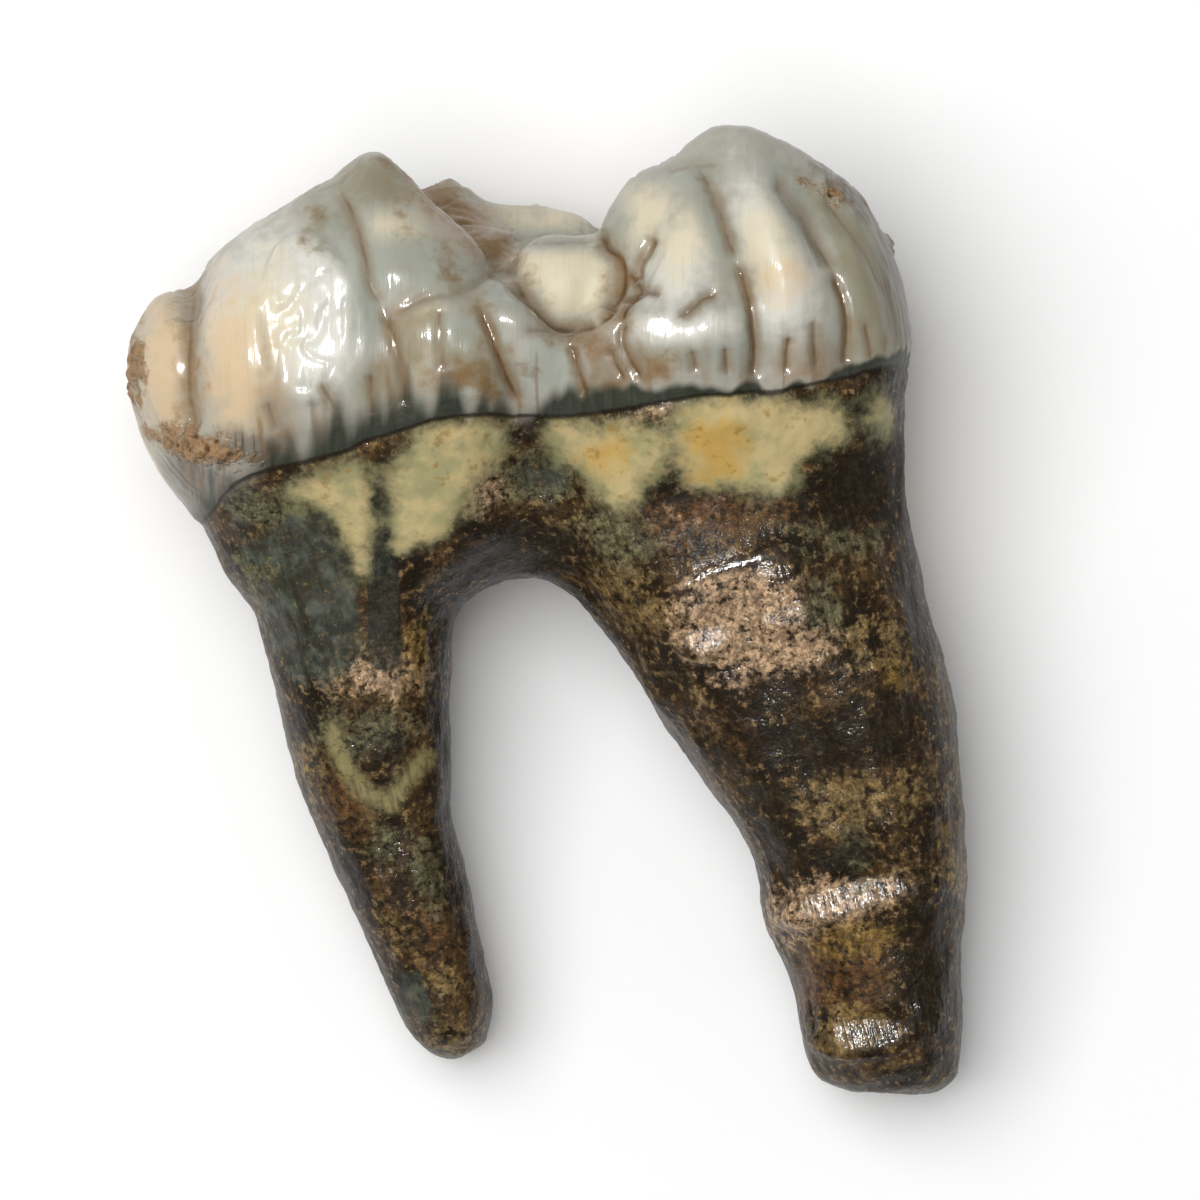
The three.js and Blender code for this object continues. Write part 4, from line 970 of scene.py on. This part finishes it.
class FOSSIL_OT_tooth(bpy.types.Operator):
    """Build the molar: an even mesh with its furrows, ripples and root relief, and its material"""

    bl_idname = "fossil.tooth"
    bl_label = "Fossil molar"

    def execute(self, context):
        sizes = context.scene.fossil_sizes
        tooth = even_mesh(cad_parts["molar"], sizes.mesh_step)
        mesh = tooth.data
        write_points(mesh, levelled(read_points(mesh), read_edges(mesh), sizes.levelling))
        halve_crown_faces(mesh)
        write_points(mesh, levelled(read_points(mesh), read_edges(mesh), 3))
        shape_tooth(mesh, sizes)
        mesh.materials.clear()
        mesh.materials.append(tooth_material(context.scene.fossil_colours))
        mesh.shade_smooth()
        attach(tooth, "root")
        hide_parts("molar")
        return {"FINISHED"}


class FOSSIL_OT_stage(bpy.types.Operator):
    """Build the stage: a pale floor, soft light and a camera straight above the tooth"""

    bl_idname = "fossil.stage"
    bl_label = "Stage"

    def execute(self, context):
        scene = context.scene
        settings = scene.fossil_stage
        half = settings.floor_width / 2
        corners = [(-half, -half, 0), (half, -half, 0), (half, half, 0), (-half, half, 0)]
        card = bpy.data.meshes.new("floor")
        card.from_pydata(corners, [], [(0, 1, 2, 3)])
        card.materials.append(card_material(settings.floor))
        floor = bpy.data.objects.new("floor", card)
        scene.collection.objects.link(floor)

        for name, watts, width, place in (
            ("soft panel", settings.panel_power, settings.panel_width, PANEL_PLACE),
            ("small lamp", settings.lamp_power, settings.lamp_width, LAMP_PLACE),
        ):
            lamp = bpy.data.lights.new(name, "AREA")
            lamp.energy, lamp.size = watts, width
            light = bpy.data.objects.new(name, lamp)
            light.location = place
            light.rotation_mode = "QUATERNION"
            light.rotation_quaternion = light.location.to_track_quat("Z", "Y")
            scene.collection.objects.link(light)
            # The panel shapes the form and the lamp the gloss.
            light.visible_glossy = name == "small lamp"
            light.visible_diffuse = name == "soft panel"

        world = bpy.data.worlds.new("even surround")
        scene.world = world
        world.use_nodes = True
        background = world.node_tree.nodes["Background"].inputs
        background["Strength"].default_value = settings.surround
        background["Color"].default_value = (1, 1, 1, 1)
        world.cycles_visibility.glossy = False
        scene.view_settings.view_transform = "Standard"

        lens = bpy.data.cameras.new("camera above")
        lens.sensor_width = SENSOR
        lens.lens = SENSOR * CAMERA_ABOVE / VIEW_WIDTH
        lens.clip_start, lens.clip_end = 0.01, 10.0
        camera = bpy.data.objects.new("camera above", lens)
        camera.location = Vector((CAMERA_X, CAMERA_Y, SEEN_LEVEL + CAMERA_ABOVE)) * MM
        scene.collection.objects.link(camera)
        scene.camera = camera
        return {"FINISHED"}


OPERATORS = (FOSSIL_OT_tooth, FOSSIL_OT_stage)
SETTINGS = {
    "fossil_sizes": FossilToothSizes,
    "fossil_colours": FossilToothColours,
    "fossil_stage": FossilStage,
}


class FOSSIL_PT_panel(bpy.types.Panel):
    """Lists the pieces that can be built and their settings"""

    bl_idname = "FOSSIL_PT_panel"
    bl_label = "Fossil Cave Bear Molar"
    bl_space_type = "VIEW_3D"
    bl_region_type = "UI"
    bl_category = "Fossil"

    def draw(self, context):
        for operator in OPERATORS:
            self.layout.operator(operator.bl_idname)
        for name in SETTINGS:
            settings = getattr(context.scene, name)
            box = self.layout.box()
            for key in settings.__annotations__:
                box.prop(settings, key)


def register():
    """Registers the settings, operators and panel."""
    for cls in (*SETTINGS.values(), *OPERATORS, FOSSIL_PT_panel):
        bpy.utils.register_class(cls)
    for name, cls in SETTINGS.items():
        setattr(bpy.types.Scene, name, PointerProperty(type=cls))


def unregister():
    """Takes them all away again."""
    for name in SETTINGS:
        delattr(bpy.types.Scene, name)
    for cls in (FOSSIL_PT_panel, *reversed(OPERATORS), *reversed(SETTINGS.values())):
        bpy.utils.unregister_class(cls)


def main():
    """Builds the tooth and its stage."""
    register()
    bpy.ops.fossil.tooth()
    bpy.ops.fossil.stage()


if __name__ == "__main__":
    main()
